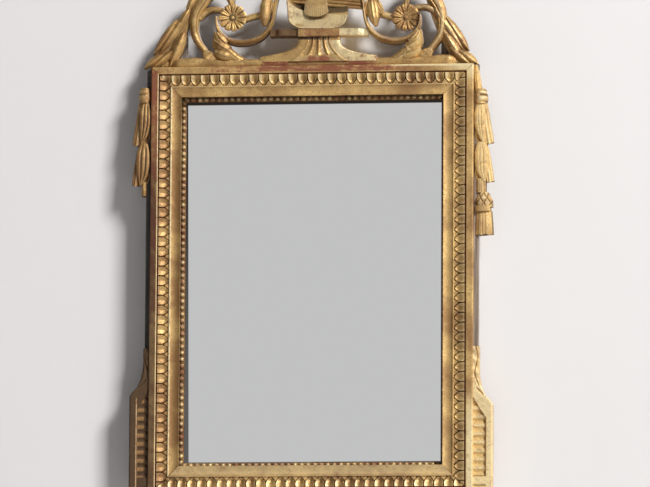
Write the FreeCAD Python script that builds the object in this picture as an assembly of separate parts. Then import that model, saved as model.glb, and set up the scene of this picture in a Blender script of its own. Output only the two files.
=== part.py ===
"""Carved giltwood wall mirror with a pierced crest, side drops and console brackets.

Millimetres. X runs to the right, Z up and the front faces -Y.
The origin is the middle of the lower edge of the carcass's back, where the frame bears on the wall.
Depths are counted forward from that back.
"""
import FreeCAD, Part
import math
import os

os.makedirs("parts", exist_ok=True)

# sight edge and moulding widths, from the outside inwards
lip_width = 394.0
lip_height = 555.0
fascia_w = 10.5
quirk_w = 3.0
leaf_w = 14.5
fillet_w = 3.5
cove_w = 13.5
moulding_w = fascia_w + quirk_w + leaf_w + fillet_w + cove_w
frame_w = lip_width + 2 * moulding_w
frame_h = lip_height + 2 * moulding_w

# heights of the moulding above the carcass front
fascia_v = 9.0
quirk_v = 5.5
leaf_top_v = 8.0
leaf_low_v = 4.2
fillet_v = 5.2
cove_v = 2.6
lip_v = 5.0
edge_round = 1.2

# carcass, glass and backboards
carcass_t = 28.0
wing_w = 7.5
bevel_w = 8.0
through = 1.0
lip_overhang = 3.0
lap_t = carcass_t / 2
glass_t = 4.0
glass_ledge = 8.0
glass_play = 1.5
wedge_t = 3.0
wedge_l = 32.0
wedge_w = 6.0
wedge_shares_up = (0.2, 0.5, 0.8)
wedge_shares_across = (-0.25, 0.25)
board_t = 6.5
board_ledge = 8.0
board_play = 0.5
board_count = 3
board_rebate = lap_t - glass_t - wedge_t
peg_r = 4.0
peg_l = 24.0
fit = 0.1

# bead slip at the sight edge
bead_r = 4.4
slip_t = 3.0

# nails, dowels and screws
nail_r = 1.2
nail_l = 18.0
nail_head_r = 2.6
nail_head_t = 0.8
nails_per_end = 2
dowel_r = 4.0
dowel_l = 22.0
dowel_in_rail = 7.5
dowel_shares = (-0.62, -0.25, 0.25, 0.62)
pin_r = 1.0
pin_l = 16.0
pin_sink = 4.0
drop_pins = (50.0, 150.0)
tassel_pin = 12.0
console_pins = (57.0, 115.0)
screw_r = 1.6
screw_l = 16.0
screw_head_r = 3.2
screw_head_t = 1.5

# hanging eye and ring
eye_r = 5.2
eye_bore_r = 2.8
eye_l = 6.0
eye_stand = 8.0
eye_drop = 16.0
shank_r = 2.4
shank_l = 16.0
ring_major_r = 16.0
ring_wire_r = 2.0

# crest
crest_off = 9.0
left_spread = 1.026
crest_back = 10.0
rail_h = 12.5
rail_front = 30.0
rail_back = 4.0
rail_step = 4.0
rail_step_h = 5.6
stem_front = 27.0
stem_round = 3.0
stem_reach = (50.0, 58.0, 72.8, 76.5, 74.0, 64.0, 44.0)
stem_heights = (6.5, 23.25, 44.5, 66.0, 84.0, 103.0)
stem_widths = (9.0, 10.5, 12.0, 14.5, 18.0, 21.0, 19.0, 16.0, 11.0)
stem_fall = 10.0
stem_end = 3.0
scroll_x = 108.0
scroll_z = 80.0
scroll_r = 41.0
volute_turns = (8, -22, -50, -80, -110, -140, -165, -182)
volute_arm = ((3.0, 24.0), (13.0, 50.0), (32.0, 72.0))
volute_widths = (2.0, 7.0, 9.5, 10.5, 10.0, 9.0, 8.0, 8.0, 9.0, 9.0, 8.0, 7.0)
foot_out = (14.0, 22.0, 25.0)
foot_up = (6.5, 24.0, 42.0)
foot_widths = (22.0, 14.0, 9.0)
rosette_x = 130.0
rosette_z = 73.0
rosette_r = 21.0
rosette_t = 12.0
rosette_petals = 11
rosette_rows = ((0.9, 0.16, 0.0), (1.0, 0.2, 0.55), (0.3, 0.1, 0.45))
rosette_button = (0.2, 0.3, 0.75)
link_t = 8.0
link_w = 8.0
link_high = ((70.0, 72.0), (57.0, 84.0), (36.0, 88.0))
link_low = ((-37.0, 86.0), (-16.0, 80.0))
rosette_seat = 18.0
bud_r = 9.5
bud_l = 44.0
bud_t = 12.0
bud_out = 13.0
bud_up = 24.0
bud_lean = 14.0
shelf_low = 44.5
shelf_h = 12.0
shelf_set = 1.5
shelf_half = 74.0
shelf_front = 26.0
block_half = 31.0
block_front = 34.0
knot_z = 164.0
knot_half = 9.0
knot_h = 15.0
bow_reach = 54.0
bow_w = 26.0
bow_lean = 64.0
bow_eye = (0.34, 0.5, 0.42)
tuft_w = 15.0
tuft = ((66, 0.8), (90, 1.0), (114, 0.8))
crest_h = 208.0
hat_a = 46.0
hat_b = 34.0
hat_curl = 2.5
brim_dish = 5.0
brim_lap = 2.0
brim_under = 6.0
brim_edge = 1.0
crown_r = 16.5
crown_h = 12.0
crown_flat = 2.0
crown_rows = ((0.0, 0.0), (1.0, 0.7), (6.0, 1.0))
rod_r = 3.2
rod_pitch = 7.2
rod_tilt = 13.0
rod_lift = 2.0
rod_raise = 10.0
pedestal_low = 77.0
pedestal_face_top = 15.0
pedestal_face_low = 44.0
pedestal_waist = (0.38, 0.28)
pedestal_flutes = 4
pedestal_flute_r = (5.0, 2.2)
pedestal_flute_sink = 3.2
batten_x = 197.0
batten_w = 12.0
batten_t = 8.0
batten_tenon = 20.0
batten_rise = 74.0
screw_share = 0.65
garland_front = 30.0
garland_inset = 17.0
garland_fall = 0.05
garland_core = ((garland_inset, 0.0), (31.0, 25.0), (50.0, 55.0), (64.0, 82.0), (74.0, 104.0))
garland_core_widths = (30.0, 28.0, 24.0, 16.0, 8.0)

# garland leaves: inset from the wing's edge, height of the root, lean, length, width
garland_leaves = (
    (27, 22, -37, 37, 14),
    (40, 26, -41, 42, 14),
    (58, 54, -67, 57, 20),
    (47, 74, -56, 63, 13),
    (59, 80, -56, 68, 16),
    (66, 92, -60, 44, 14),
    (76, 116, -64, 36, 12),
)

# acanthus lobes: root outwards and up, lean, length, width, step back from the front
acanthus_t = 7.0
acanthus_lobes = (
    (104, 8, 43, 68, 17, 1),
    (139, 30, 24, 24, 13, 1),
    (136, 22, 12, 28, 13, 0),
    (132, 13, 6, 29, 13, 0),
    (172, 24, 215, 34, 14, 2),
)

# any leaf: shares of its width along the way, height of its wall and width of its ridge
leaf_shape = (0.45, 0.9, 1.0, 0.78, 0.12)
leaf_wall = 0.55
leaf_ridge = 0.3

# side drops and console brackets
side_reach = 29.0
drop_back = 15.0
drop_front = 34.0
drop_round = 1.5
drop_x = 10.5
drop_overlap = 2.0
knot_l = 22.0
knot_widths = (15.0, 19.0, 20.0, 16.0)
bundle_shares = (0.0, 0.33, 0.6, 0.83, 1.0)
bell_x = (10.0, 12.5, 14.5, 17.0, 20.5)
bell_widths = (15.0, 20.0, 24.0, 23.0, 17.0)
oval_x = (11.0, 12.5, 13.5, 15.0, 17.0)
oval_widths = (11.0, 20.0, 22.0, 17.0, 3.0)
ribbon_x = (15.0, 18.0, 20.0, 22.0, 23.0)
ribbon_widths = (9.0, 12.0, 13.0, 13.0, 12.0)
stub_l = 16.0
stub_w = 15.0
top_stem_line = ((3.0, 2.0), (4.5, 20.0), (7.0, 41.0))
top_stem_widths = (7.0, 10.0, 12.0)
drop_right_rows = (38.0, 60.0, 118.0)
drop_left_rows = (31.0, 52.0, 115.0)
tassel_top = 194.0
tassel_x = 14.0
tassel_cap = (0.0, 10.0, 21.0)
tassel_cap_widths = (16.0, 26.0, 27.0)
tassel_collar = (20.0, 24.0, 28.0)
tassel_collar_widths = (23.0, 23.0)
tassel_skirt = (27.0, 46.0, 63.0)
tassel_skirt_widths = (24.0, 27.0, 28.5)
console_h = 221.0
console_slope = ((4.0, 6.0), (11.0, 13.0), (17.0, 27.0), (20.0, 45.0))
console_tip = 9.0
console_panel_rise = 30.0
console_panel_drop = 12.0
console_plinth = 28.0
console_front = 34.0
console_panel = 30.5
console_stile = 12.0
shoulder_right = 135.0
shoulder_left = 150.0
flute_pitch = 12.6
flute_r = 7.0
flute_depth = 1.4

# derived places
half_w = frame_w / 2
half_wing = half_w + wing_w
open_half = lip_width / 2 + lip_overhang
open_low = moulding_w - lip_overhang
open_top = frame_h - open_low


def at(x, depth, z):
    """A point from its place across, its depth forward of the back and its height."""
    return FreeCAD.Vector(x, -depth, z)


def block(x0, x1, d0, d1, z0, z1):
    """A square-edged block between two places on each axis."""
    return Part.makeBox(x1 - x0, d1 - d0, z1 - z0, at(x0, d1, z0))


def slab(points, d0, d1):
    """A straight-sided plate: an outline in the front view carried forward."""
    wire = Part.makePolygon([at(x, d0, z) for x, z in points + points[:1]])
    return Part.Face(wire).extrude(FreeCAD.Vector(0, d0 - d1, 0))


def pin(x, z, d0, d1, r):
    """A round pin that runs from front to back."""
    return Part.makeCylinder(r, d1 - d0, at(x, d0, z), FreeCAD.Vector(0, -1, 0))


def fused(solids):
    """One solid out of several that overlap."""
    whole = solids[0].multiFuse(solids[1:]) if len(solids) > 1 else solids[0]
    return whole.removeSplitter()


def largest(shape):
    """The main solid that a cut leaves, without chips."""
    return max(shape.Solids, key=lambda s: s.Volume)


def mirrored(shape, about=0.0):
    """The other hand of a shape, about an upright plane."""
    return shape.mirror(FreeCAD.Vector(about, 0, 0), FreeCAD.Vector(1, 0, 0))


def save(shape, node):
    """Write one node, with a single solid taken out of its compound."""
    solids = shape.Solids
    out = solids[0] if len(solids) == 1 else Part.makeCompound(solids)
    out.exportStep("parts/" + node + ".step")


def smooth(points):
    """A smooth edge through points."""
    curve = Part.BSplineCurve()
    curve.interpolate(points)
    return curve.toShape()


def walked(points, count):
    """Places and unit normals along a smooth line through points in the front view."""
    curve = Part.BSplineCurve()
    curve.interpolate([FreeCAD.Vector(x, 0, z) for x, z in points])
    first, last = curve.FirstParameter, curve.LastParameter
    out = []
    for i in range(count):
        t = first + (last - first) * i / (count - 1)
        p, d = curve.value(t), curve.tangent(t)[0]
        out.append((p.x, p.z, -d.z, d.x))
    return out


def spread(values, count):
    """Values spaced evenly along a line and filled in between."""
    out = []
    for i in range(count):
        s = i / (count - 1) * (len(values) - 1)
        k = min(int(s), len(values) - 2)
        out.append(values[k] + (values[k + 1] - values[k]) * (s - k))
    return out


def band(points, widths, levels, count=13):
    """A carved band along a line: full width at the back, rounded off in steps towards the front.

    levels holds (depth, share of the width)."""
    places = walked(points, count)
    halves = [w / 2 for w in spread(widths, count)]
    wires = []
    for depth, share in levels:
        one = [at(x + nx * h * share, depth, z + nz * h * share) for (x, z, nx, nz), h in zip(places, halves)]
        two = [at(x - nx * h * share, depth, z - nz * h * share) for (x, z, nx, nz), h in zip(places, halves)][::-1]
        edges = [smooth(one), Part.makeLine(one[-1], two[0]), smooth(two), Part.makeLine(two[-1], one[0])]
        wires.append(Part.Wire(edges))
    return Part.makeLoft(wires, True, True)


def leaf(x, z, angle, length, width, d0, d1):
    """A pointed leaf with a raised middle, its root at (x, z), pointing at an angle from +X."""
    c, s = math.cos(math.radians(angle)), math.sin(math.radians(angle))
    line = [(x + length * f * c, z + length * f * s) for f in (0.0, 0.5, 1.0)]
    widths = [width * share for share in leaf_shape]
    return band(line, widths, [(d0, 1.0), (d0 + leaf_wall * (d1 - d0), 1.0), (d1, leaf_ridge)], 9)


# carcass: stiles carry the back half of each corner lap, rails the front half
glass_cut = block(
    -open_half - glass_ledge, open_half + glass_ledge, -through, lap_t, open_low - glass_ledge, open_top + glass_ledge
)
board_half = open_half + glass_ledge + board_ledge
board_low = open_low - glass_ledge - board_ledge
board_top = open_top + glass_ledge + board_ledge
board_cut = block(-board_half, board_half, -through, board_rebate, board_low, board_top)
rebates = glass_cut.fuse(board_cut)


def stile(side):
    """One upright of the carcass, halved at both ends and bevelled away behind its outer edge."""
    x0, x1 = sorted((side * open_half, side * half_wing))
    body = block(x0, x1, 0, carcass_t, 0, frame_h)
    body = body.cut(block(x0, x1, lap_t, carcass_t, 0, open_low))
    body = body.cut(block(x0, x1, lap_t, carcass_t, open_top, frame_h)).cut(rebates)
    edge = [at(side * half_wing, lap_t, 0), at(side * (half_wing - bevel_w), 0, 0), at(side * half_wing, 0, 0)]
    bevel = Part.Face(Part.makePolygon(edge + edge[:1])).extrude(FreeCAD.Vector(0, 0, frame_h))
    return body.cut(bevel)


def rail(z0, z1):
    """One crosspiece of the carcass, halved at both ends."""
    body = block(-half_wing, half_wing, 0, carcass_t, z0, z1)
    body = body.cut(block(-half_wing, -open_half, 0, lap_t, z0, z1))
    return body.cut(block(open_half, half_wing, 0, lap_t, z0, z1)).cut(rebates)


stile_left, stile_right = stile(-1), stile(1)
rail_low, rail_top = rail(0, open_low), rail(open_top, frame_h)

# pegs through the corner laps, seated on the ends of their holes
peg_inset = (half_wing + board_half) / 2
peg_places = [(sx * peg_inset, z) for sx in (-1, 1) for z in (board_low / 2, frame_h - board_low / 2)]
peg_holes = Part.makeCompound([pin(x, z, -through, peg_l, peg_r + fit) for x, z in peg_places])
pegs = Part.makeCompound([pin(x, z, 0, peg_l, peg_r) for x, z in peg_places])
stile_left, stile_right = stile_left.cut(peg_holes), stile_right.cut(peg_holes)
rail_low, rail_top = rail_low.cut(peg_holes), rail_top.cut(peg_holes)

# mouldings: one profile, four mitred lengths
def profile_edges(place):
    """The moulding's section, place(inward, above the carcass front) giving a point."""
    u1 = fascia_w
    u2 = u1 + quirk_w
    u3 = u2 + leaf_w
    u4 = u3 + fillet_w
    u5 = moulding_w
    p = place
    ogee = [
        p(u2, leaf_top_v),
        p(u2 + 0.3 * leaf_w, 0.85 * leaf_top_v + 0.15 * leaf_low_v),
        p(u2 + 0.7 * leaf_w, 0.35 * leaf_top_v + 0.65 * leaf_low_v),
        p(u3, leaf_low_v),
    ]
    cove = [p(u4, leaf_low_v), p((u4 + u5) / 2, cove_v), p(u5, lip_v)]
    line = Part.makeLine
    return [
        line(p(0, 0), p(0, fascia_v - edge_round)),
        line(p(0, fascia_v - edge_round), p(edge_round, fascia_v)),
        line(p(edge_round, fascia_v), p(u1, fascia_v)),
        line(p(u1, fascia_v), p(u1, quirk_v)),
        line(p(u1, quirk_v), p(u2, quirk_v)),
        line(p(u2, quirk_v), p(u2, leaf_top_v)),
        smooth(ogee),
        line(p(u3, leaf_low_v), p(u3, fillet_v)),
        line(p(u3, fillet_v), p(u4, fillet_v)),
        line(p(u4, fillet_v), p(u4, leaf_low_v)),
        smooth(cove),
        line(p(u5, lip_v), p(u5, 0)),
        line(p(u5, 0), p(0, 0)),
    ]


def frame_corner(sx, top, inset):
    """A corner of the rectangle that lies inside the frame's outline by a distance."""
    return sx * (half_w - inset), (frame_h - inset) if top else inset


def mitre(side, inset0, inset1, d0, d1):
    """The wedge-ended plate that one side keeps between two insets."""
    a, b = {
        "top": ((-1, True), (1, True)),
        "bottom": ((1, False), (-1, False)),
        "left": ((-1, False), (-1, True)),
        "right": ((1, True), (1, False)),
    }[side]
    points = [frame_corner(*a, inset0), frame_corner(*b, inset0), frame_corner(*b, inset1), frame_corner(*a, inset1)]
    return slab(points, d0, d1)


def run(side, edges_of, inset0, inset1, d0, d1):
    """A length of section along one side, cut to its mitres."""
    if side in ("top", "bottom"):
        flip = side == "top"
        edges = edges_of(lambda u, v: at(-half_w, carcass_t + v, frame_h - u if flip else u))
        travel = FreeCAD.Vector(frame_w, 0, 0)
    else:
        sx = 1 if side == "right" else -1
        edges = edges_of(lambda u, v: at(sx * (half_w - u), carcass_t + v, 0))
        travel = FreeCAD.Vector(0, 0, frame_h)
    bar = Part.Face(Part.Wire(edges)).extrude(travel)
    return bar.common(mitre(side, inset0, inset1, d0, d1))


def slip_edges(place):
    """Section of the bead slip: a flat strip with a half-round on it, standing on the glass."""
    u0 = moulding_w - lip_overhang
    u1 = u0 + 2 * bead_r
    low = lap_t - carcass_t
    mid = low + slip_t
    p = place
    arc = Part.Arc(p(u1, mid), p(u0 + bead_r, mid + bead_r), p(u0, mid)).toShape()
    return [
        Part.makeLine(p(u0, low), p(u1, low)),
        Part.makeLine(p(u1, low), p(u1, mid)),
        arc,
        Part.makeLine(p(u0, mid), p(u0, low)),
    ]


for side in ("top", "bottom", "left", "right"):
    save(run(side, profile_edges, 0, moulding_w, carcass_t - through, carcass_t + fascia_v + through), "moulding_" + side)
    inner = moulding_w - lip_overhang
    save(run(side, slip_edges, inner, inner + 2 * bead_r, lap_t - through, carcass_t), "bead_slip_" + side)

# mirror plate, wedges behind it, backboards and their nails
plate_half = open_half + glass_ledge - glass_play
plate_low = open_low - glass_ledge + glass_play
plate_top = frame_h - plate_low
save(block(-plate_half, plate_half, lap_t - glass_t, lap_t, plate_low, plate_top), "mirror_plate")

wedge_back = board_rebate
wedges = []
for share in wedge_shares_up:
    mid = plate_low + share * (plate_top - plate_low)
    for sx in (-1, 1):
        x0, x1 = sorted((sx * plate_half, sx * (plate_half - wedge_w)))
        wedges.append(block(x0, x1, wedge_back, wedge_back + wedge_t, mid - wedge_l / 2, mid + wedge_l / 2))
for share in wedge_shares_across:
    mid = 2 * plate_half * share
    for z0 in (plate_low, plate_top - wedge_w):
        wedges.append(block(mid - wedge_l / 2, mid + wedge_l / 2, wedge_back, wedge_back + wedge_t, z0, z0 + wedge_w))
save(Part.makeCompound(wedges), "plate_wedges")

board_h = (board_top - board_low - (board_count + 1) * board_play) / board_count
nail_x = board_half - board_ledge / 2
boards, nails, nail_holes = [], [], []
for i in range(board_count):
    z0 = board_low + board_play + i * (board_h + board_play)
    boards.append(
        block(-board_half + board_play, board_half - board_play, board_rebate - board_t, board_rebate, z0, z0 + board_h)
    )
    for k in range(nails_per_end):
        z = z0 + board_h * (k + 0.5) / nails_per_end
        for sx in (-1, 1):
            seat = board_rebate - board_t
            nails.append(
                pin(sx * nail_x, z, seat - nail_head_t, seat, nail_head_r).fuse(
                    pin(sx * nail_x, z, seat, seat + nail_l, nail_r)
                )
            )
            nail_holes.append(pin(sx * nail_x, z, -through, seat + nail_l + fit, nail_r + fit))
nail_holes = Part.makeCompound(nail_holes)
for board, name in zip(boards, ("lower", "middle", "upper")):
    save(board.cut(nail_holes), "backboard_" + name)
save(Part.makeCompound(nails), "backboard_nails")
stile_left, stile_right = stile_left.cut(nail_holes), stile_right.cut(nail_holes)

# crest: everything stands on the top of the frame
stem_levels = [(crest_back, 1.0), (0.5 * (crest_back + stem_front), 1.0), (stem_front - stem_round, 0.8), (stem_front, 0.4)]


def crest_x(outward, side):
    """A place outwards from the crest's own axis; the left half was cut a little wider."""
    return crest_off + side * outward * (left_spread if side < 0 else 1)


def crest_points(points, side):
    """Places given outwards from the crest's own axis and up from the frame's top."""
    return [(crest_x(x, side), frame_h + z) for x, z in points]


def ring_place(angle, r):
    """A place on the circle that the volute follows, outwards and up."""
    a = math.radians(angle)
    return scroll_x + r * math.cos(a), scroll_z + r * math.sin(a)


arch_z = scroll_z + scroll_r
stem_line = [(scroll_x + x, z) for x, z in zip(stem_reach, stem_heights + (arch_z,))] + [
    (rosette_x, arch_z - stem_fall),
    (rosette_x, rosette_z + rosette_r - stem_end),
]
arm_x = scroll_x - scroll_r
volute_line = (
    [ring_place(a, scroll_r) for a in volute_turns]
    + [(arm_x - x, scroll_z + z) for x, z in volute_arm]
    + [(knot_half - stem_end, knot_z)]
)
link_outer = [(scroll_x + x, z) for x, z in link_high] + [(rosette_x, rosette_z)]
link_inner = [(scroll_x + x, z) for x, z in link_low] + [(rosette_x, rosette_z)]
link_levels = [(crest_back, 1.0), (crest_back + 0.6 * link_t, 1.0), (crest_back + link_t, 0.6)]
foot_line = [(scroll_x + x, z) for x, z in zip(foot_out, foot_up)]
seat_line = [(rosette_x, rosette_z + share * rosette_seat) for share in (-0.5, 0.0, 0.5)]

rail_top_z = frame_h + rail_h
far = frame_w
below_frame = block(-far, far, -far, far, 0, frame_h)
below_rail = block(-far, far, -far, far, 0, rail_top_z)


def scroll(side):
    """Stem, volute and the links that carry the rosette, carved out of one board."""
    pieces = [
        band(crest_points(stem_line, side), stem_widths, stem_levels, 25),
        band(crest_points(volute_line, side), volute_widths, stem_levels, 25),
        band(crest_points(link_outer, side), [link_w, link_w], link_levels),
        band(crest_points(link_inner, side), [link_w, link_w], link_levels),
        band(crest_points(foot_line, side), foot_widths, stem_levels, 7),
        band(crest_points(seat_line, side), [rosette_seat, rosette_seat], link_levels, 5),
    ]
    return largest(fused(pieces).cut(below_rail))


scroll_left, scroll_right = scroll(-1), scroll(1)


def rosette(side, behind):
    """A dished flower with scalloped petals and a button, seated on the links and under the stem's end."""
    cx, cz = crest_x(rosette_x, side), frame_h + rosette_z
    seat = crest_back + link_t
    count = rosette_petals * 4

    def scalloped(r, dip, depth):
        points = []
        for i in range(count):
            a = 2 * math.pi * i / count
            rr = r * (1 - dip * (0.5 - 0.5 * math.cos(rosette_petals * a)) ** 2)
            points.append(at(cx + rr * math.cos(a), depth, cz + rr * math.sin(a)))
        return Part.makePolygon(points + points[:1])

    rows = [scalloped(rosette_r * share, dip, seat + rosette_t * up) for share, dip, up in rosette_rows]
    petals = Part.makeLoft(rows, True, True)
    share, low, high = rosette_button
    button = pin(cx, cz, seat + low * rosette_t, seat + high * rosette_t, rosette_r * share)
    return largest(fused([petals, button]).cut(behind))


def garland(side, stem):
    """Long overlapping leaves from the corner of the frame up the outside of the stem."""
    points = [(side * (half_wing - x), frame_h + z) for x, z in garland_core]
    mid = 0.5 * (crest_back + garland_front)
    pieces = [band(points, garland_core_widths, [(crest_back, 1.0), (mid, 0.9)], 11)]
    for inset, z, lean, length, width in garland_leaves:
        angle = lean if side > 0 else 180 - lean
        front = garland_front - garland_fall * z
        root = crest_back + leaf_ridge * (garland_front - crest_back)
        pieces.append(leaf(side * (half_wing - inset), frame_h + z, angle, length, width, root, front))
    return largest(fused(pieces).cut(below_frame).cut(stem))


garland_left, garland_right = garland(-1, scroll_left), garland(1, scroll_right)

rail_half = half_wing - garland_inset
crest_rail = block(-rail_half, rail_half, rail_back, rail_front - rail_step, frame_h, rail_top_z)
crest_rail = crest_rail.fuse(
    block(-rail_half, rail_half, rail_front - rail_step, rail_front, frame_h, frame_h + rail_step_h)
).removeSplitter()
crest_rail = crest_rail.cut(garland_left).cut(garland_right)
crest_rail = largest(crest_rail)


def acanthus(side):
    """A half leaf in front of the scroll's foot: a plain inner blade, lobes on the outer side and a fan at the stem's end."""
    lobes = []
    for out, up, lean, length, width, step in acanthus_lobes:
        angle = lean if side > 0 else 180 - lean
        lobes.append(leaf(crest_x(out, side), frame_h + up, angle, length, width, stem_front, stem_front + acanthus_t - step))
    return largest(fused(lobes).cut(below_rail))


def bud(side, behind):
    """A drooping husk on the inner end of the volute."""
    x, top = crest_x(arm_x + bud_out, side), frame_h + scroll_z + bud_up
    d0 = crest_back + link_t
    lobes = [leaf(x, top, 270, bud_l, 2 * bud_r, d0, d0 + bud_t)]
    for way in (-1, 1):
        lobes.append(leaf(x + way * bud_r / 3, top, 270 + way * bud_lean, 0.8 * bud_l, 1.2 * bud_r, d0, d0 + 0.75 * bud_t))
    return largest(fused(lobes).cut(behind))


# shelf with its block, and the fluted pedestal below it
shelf_z0, shelf_z1 = frame_h + shelf_low, frame_h + shelf_low + shelf_h
shelf = block(
    crest_off - shelf_half, crest_off + shelf_half, crest_back, shelf_front, shelf_z0 + shelf_set, shelf_z1 - shelf_set
).fuse(block(crest_off - block_half, crest_off + block_half, crest_back, block_front, shelf_z0, shelf_z1))
shelf = shelf.cut(scroll_left).cut(scroll_right).removeSplitter()
shelf = largest(shelf)


def flared(half_top, half_low, d0, d1):
    """A plate between rail and shelf with hollow sides."""
    z0, z1 = rail_top_z, shelf_z0
    zm, xm = z0 + pedestal_waist[0] * (z1 - z0), half_top + pedestal_waist[1] * (half_low - half_top)
    right = [at(crest_off + x, d0, z) for x, z in ((half_low, z0), (xm, zm), (half_top, z1))]
    left = [at(crest_off - x, d0, z) for x, z in ((half_top, z1), (xm, zm), (half_low, z0))]
    wire = Part.Wire(
        [
            smooth(right),
            Part.makeLine(right[-1], left[0]),
            smooth(left),
            Part.makeLine(left[-1], right[0]),
        ]
    )
    return Part.Face(wire).extrude(FreeCAD.Vector(0, d0 - d1, 0))


pedestal = flared(block_half, pedestal_low, crest_back, shelf_front)
pedestal = pedestal.fuse(flared(pedestal_face_top, pedestal_face_low, shelf_front - through, block_front)).removeSplitter()
grooves = []
for i in range(pedestal_flutes):
    share = 2 * (i + 0.5) / pedestal_flutes - 1
    low_r, high_r = pedestal_flute_r
    low = at(crest_off + share * pedestal_face_low, block_front + low_r - pedestal_flute_sink, rail_top_z - through)
    high = at(crest_off + share * pedestal_face_top, block_front, shelf_z0 + through)
    grooves.append(Part.makeCone(low_r, high_r, (high - low).Length, low, high - low))
pedestal = pedestal.cut(Part.makeCompound(grooves))

# trophy: straw hat, rods behind it and a ribbon bow above
hat_x, hat_z = crest_off, shelf_z1 + hat_b
rod_depth = crest_back + link_t + rod_lift
hat_back = rod_depth + rod_r


def oval(a, b, depth):
    """An upright oval outline about the middle of the hat."""
    curve = Part.Ellipse(at(hat_x, depth, hat_z), a, b)
    curve.Axis = FreeCAD.Vector(0, -1, 0)
    return Part.Wire([curve.toShape()])


def dished(sections):
    """A solid through ovals (half width, half height, depth)."""
    return Part.makeLoft([oval(a, b, hat_back + d) for a, b, d in sections], True, True)


hat_brim = dished(
    [
        (crown_r + brim_under, crown_r + brim_under - crown_flat, 0),
        (hat_a, hat_b, brim_dish),
        (hat_a - brim_edge, hat_b - brim_edge, brim_dish + hat_curl),
        (crown_r + brim_lap, crown_r + brim_lap - crown_flat, brim_dish),
    ]
)
hat_crown = dished([(crown_r - x, crown_r - crown_flat - x, brim_dish + up * crown_h) for x, up in crown_rows])

tilt = math.radians(rod_tilt)
rod_way = FreeCAD.Vector(math.cos(tilt), 0, -math.sin(tilt))
rod_half = scroll_x - scroll_r
rods = []
for k in (-1, 0, 1):
    middle = at(
        crest_off + rod_pitch * k * math.sin(tilt), rod_depth, hat_z + rod_raise + rod_pitch * k * math.cos(tilt)
    )
    rod = Part.makeCylinder(rod_r, 2 * rod_half, middle - rod_way * rod_half, rod_way)
    rod = rod.cut(scroll_left).cut(scroll_right)
    rods.append(largest(rod))


def bow():
    """Two ribbon loops, a knot and a tuft of leaves, held by the arms of the scrolls."""
    cx, cz = crest_off, frame_h + knot_z
    flat = [(crest_back, 1.0), (stem_front - stem_round, 1.0), (stem_front, 0.5)]
    pieces = [band([(cx, cz - knot_h / 2), (cx, cz), (cx, cz + knot_h / 2)], [2 * knot_half] * 2, flat, 5)]
    for side in (-1, 1):
        angle = 90 - side * bow_lean
        way = math.radians(angle)
        start, length, width = bow_eye[0] * bow_reach, bow_eye[1] * bow_reach, bow_eye[2] * bow_w
        loop = leaf(cx, cz, angle, bow_reach, bow_w, crest_back, stem_front)
        hole = leaf(cx + start * math.cos(way), cz + start * math.sin(way), angle, length, width, 0, 2 * stem_front)
        pieces.append(loop.cut(hole))
    for angle, share in tuft:
        length = (crest_h - knot_z) * share
        pieces.append(leaf(cx, cz, angle, length, tuft_w, crest_back + through, stem_front - through))
    whole = fused(pieces).cut(scroll_left).cut(scroll_right)
    return largest(whole)


# battens behind the crest, tenoned into the top rail, and the screws through them
battens, screws, screw_holes = [], [], []
for sx in (-1, 1):
    x0, x1 = sx * batten_x - batten_w / 2, sx * batten_x + batten_w / 2
    d0 = crest_back - batten_t
    tenon = block(x0 - fit, x1 + fit, d0 - fit, crest_back + fit, frame_h - batten_tenon, frame_h)
    rail_top, stile_left, stile_right = rail_top.cut(tenon), stile_left.cut(tenon), stile_right.cut(tenon)
    crest_rail = crest_rail.cut(block(x0 - fit, x1 + fit, 0, crest_back, frame_h, rail_top_z))
    x, z = sx * batten_x, frame_h + screw_share * batten_rise
    battens.append(
        block(x0, x1, d0, crest_back, frame_h - batten_tenon, frame_h + batten_rise).cut(
            pin(x, z, d0, crest_back, screw_r + fit)
        )
    )
    screws.append(
        pin(x, z, d0 - screw_head_t, d0, screw_head_r).fuse(pin(x, z, d0, d0 + screw_l, screw_r)).removeSplitter()
    )
    screw_holes.append(pin(x, z, d0, d0 + screw_l + fit, screw_r + fit))
screw_holes = Part.makeCompound(screw_holes)
scroll_left, scroll_right = scroll_left.cut(screw_holes), scroll_right.cut(screw_holes)
garland_left, garland_right = garland_left.cut(screw_holes), garland_right.cut(screw_holes)

# dowels between the crest rail and the top rail
dowel_depth = 0.5 * (crest_back + rail_front - rail_step)
dowels, dowel_holes = [], []
for share in dowel_shares:
    foot = at(share * half_w, dowel_depth, frame_h - dowel_l / 2)
    up = FreeCAD.Vector(0, 0, 1)
    reach = dowel_l / 2 + dowel_in_rail
    dowels.append(Part.makeCylinder(dowel_r, reach, foot, up))
    dowel_holes.append(Part.makeCylinder(dowel_r + fit, reach, foot, up))
dowel_holes = Part.makeCompound(dowel_holes)
rail_top, crest_rail = rail_top.cut(dowel_holes), crest_rail.cut(dowel_holes)

# hanging eye in the back of the top rail, and its ring
eye_z = frame_h - eye_drop
along = FreeCAD.Vector(1, 0, 0)
eye_at = at(-eye_l / 2, -eye_stand, eye_z)
eye = Part.makeCylinder(eye_r, eye_l, eye_at, along).fuse(pin(0, eye_z, -eye_stand, shank_l, shank_r))
eye = eye.cut(Part.makeCylinder(eye_bore_r, eye_l, eye_at, along)).removeSplitter()
rail_top = rail_top.cut(pin(0, eye_z, 0, shank_l, shank_r + fit))
ring = Part.makeTorus(ring_major_r, ring_wire_r, at(0, -eye_stand, eye_z - ring_major_r), FreeCAD.Vector(0, 1, 0))

# side drops and consoles sit against the edge and the front of the wings
wing_seat = block(0, half_wing, -through, carcass_t, -through, frame_h + through)
moulding_side = block(0, half_w, -through, far, -through, frame_h + through)
drop_levels = [(drop_back, 1.0), (carcass_t + through, 1.0), (drop_front - drop_round, 0.75), (drop_front, 0.35)]


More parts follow.
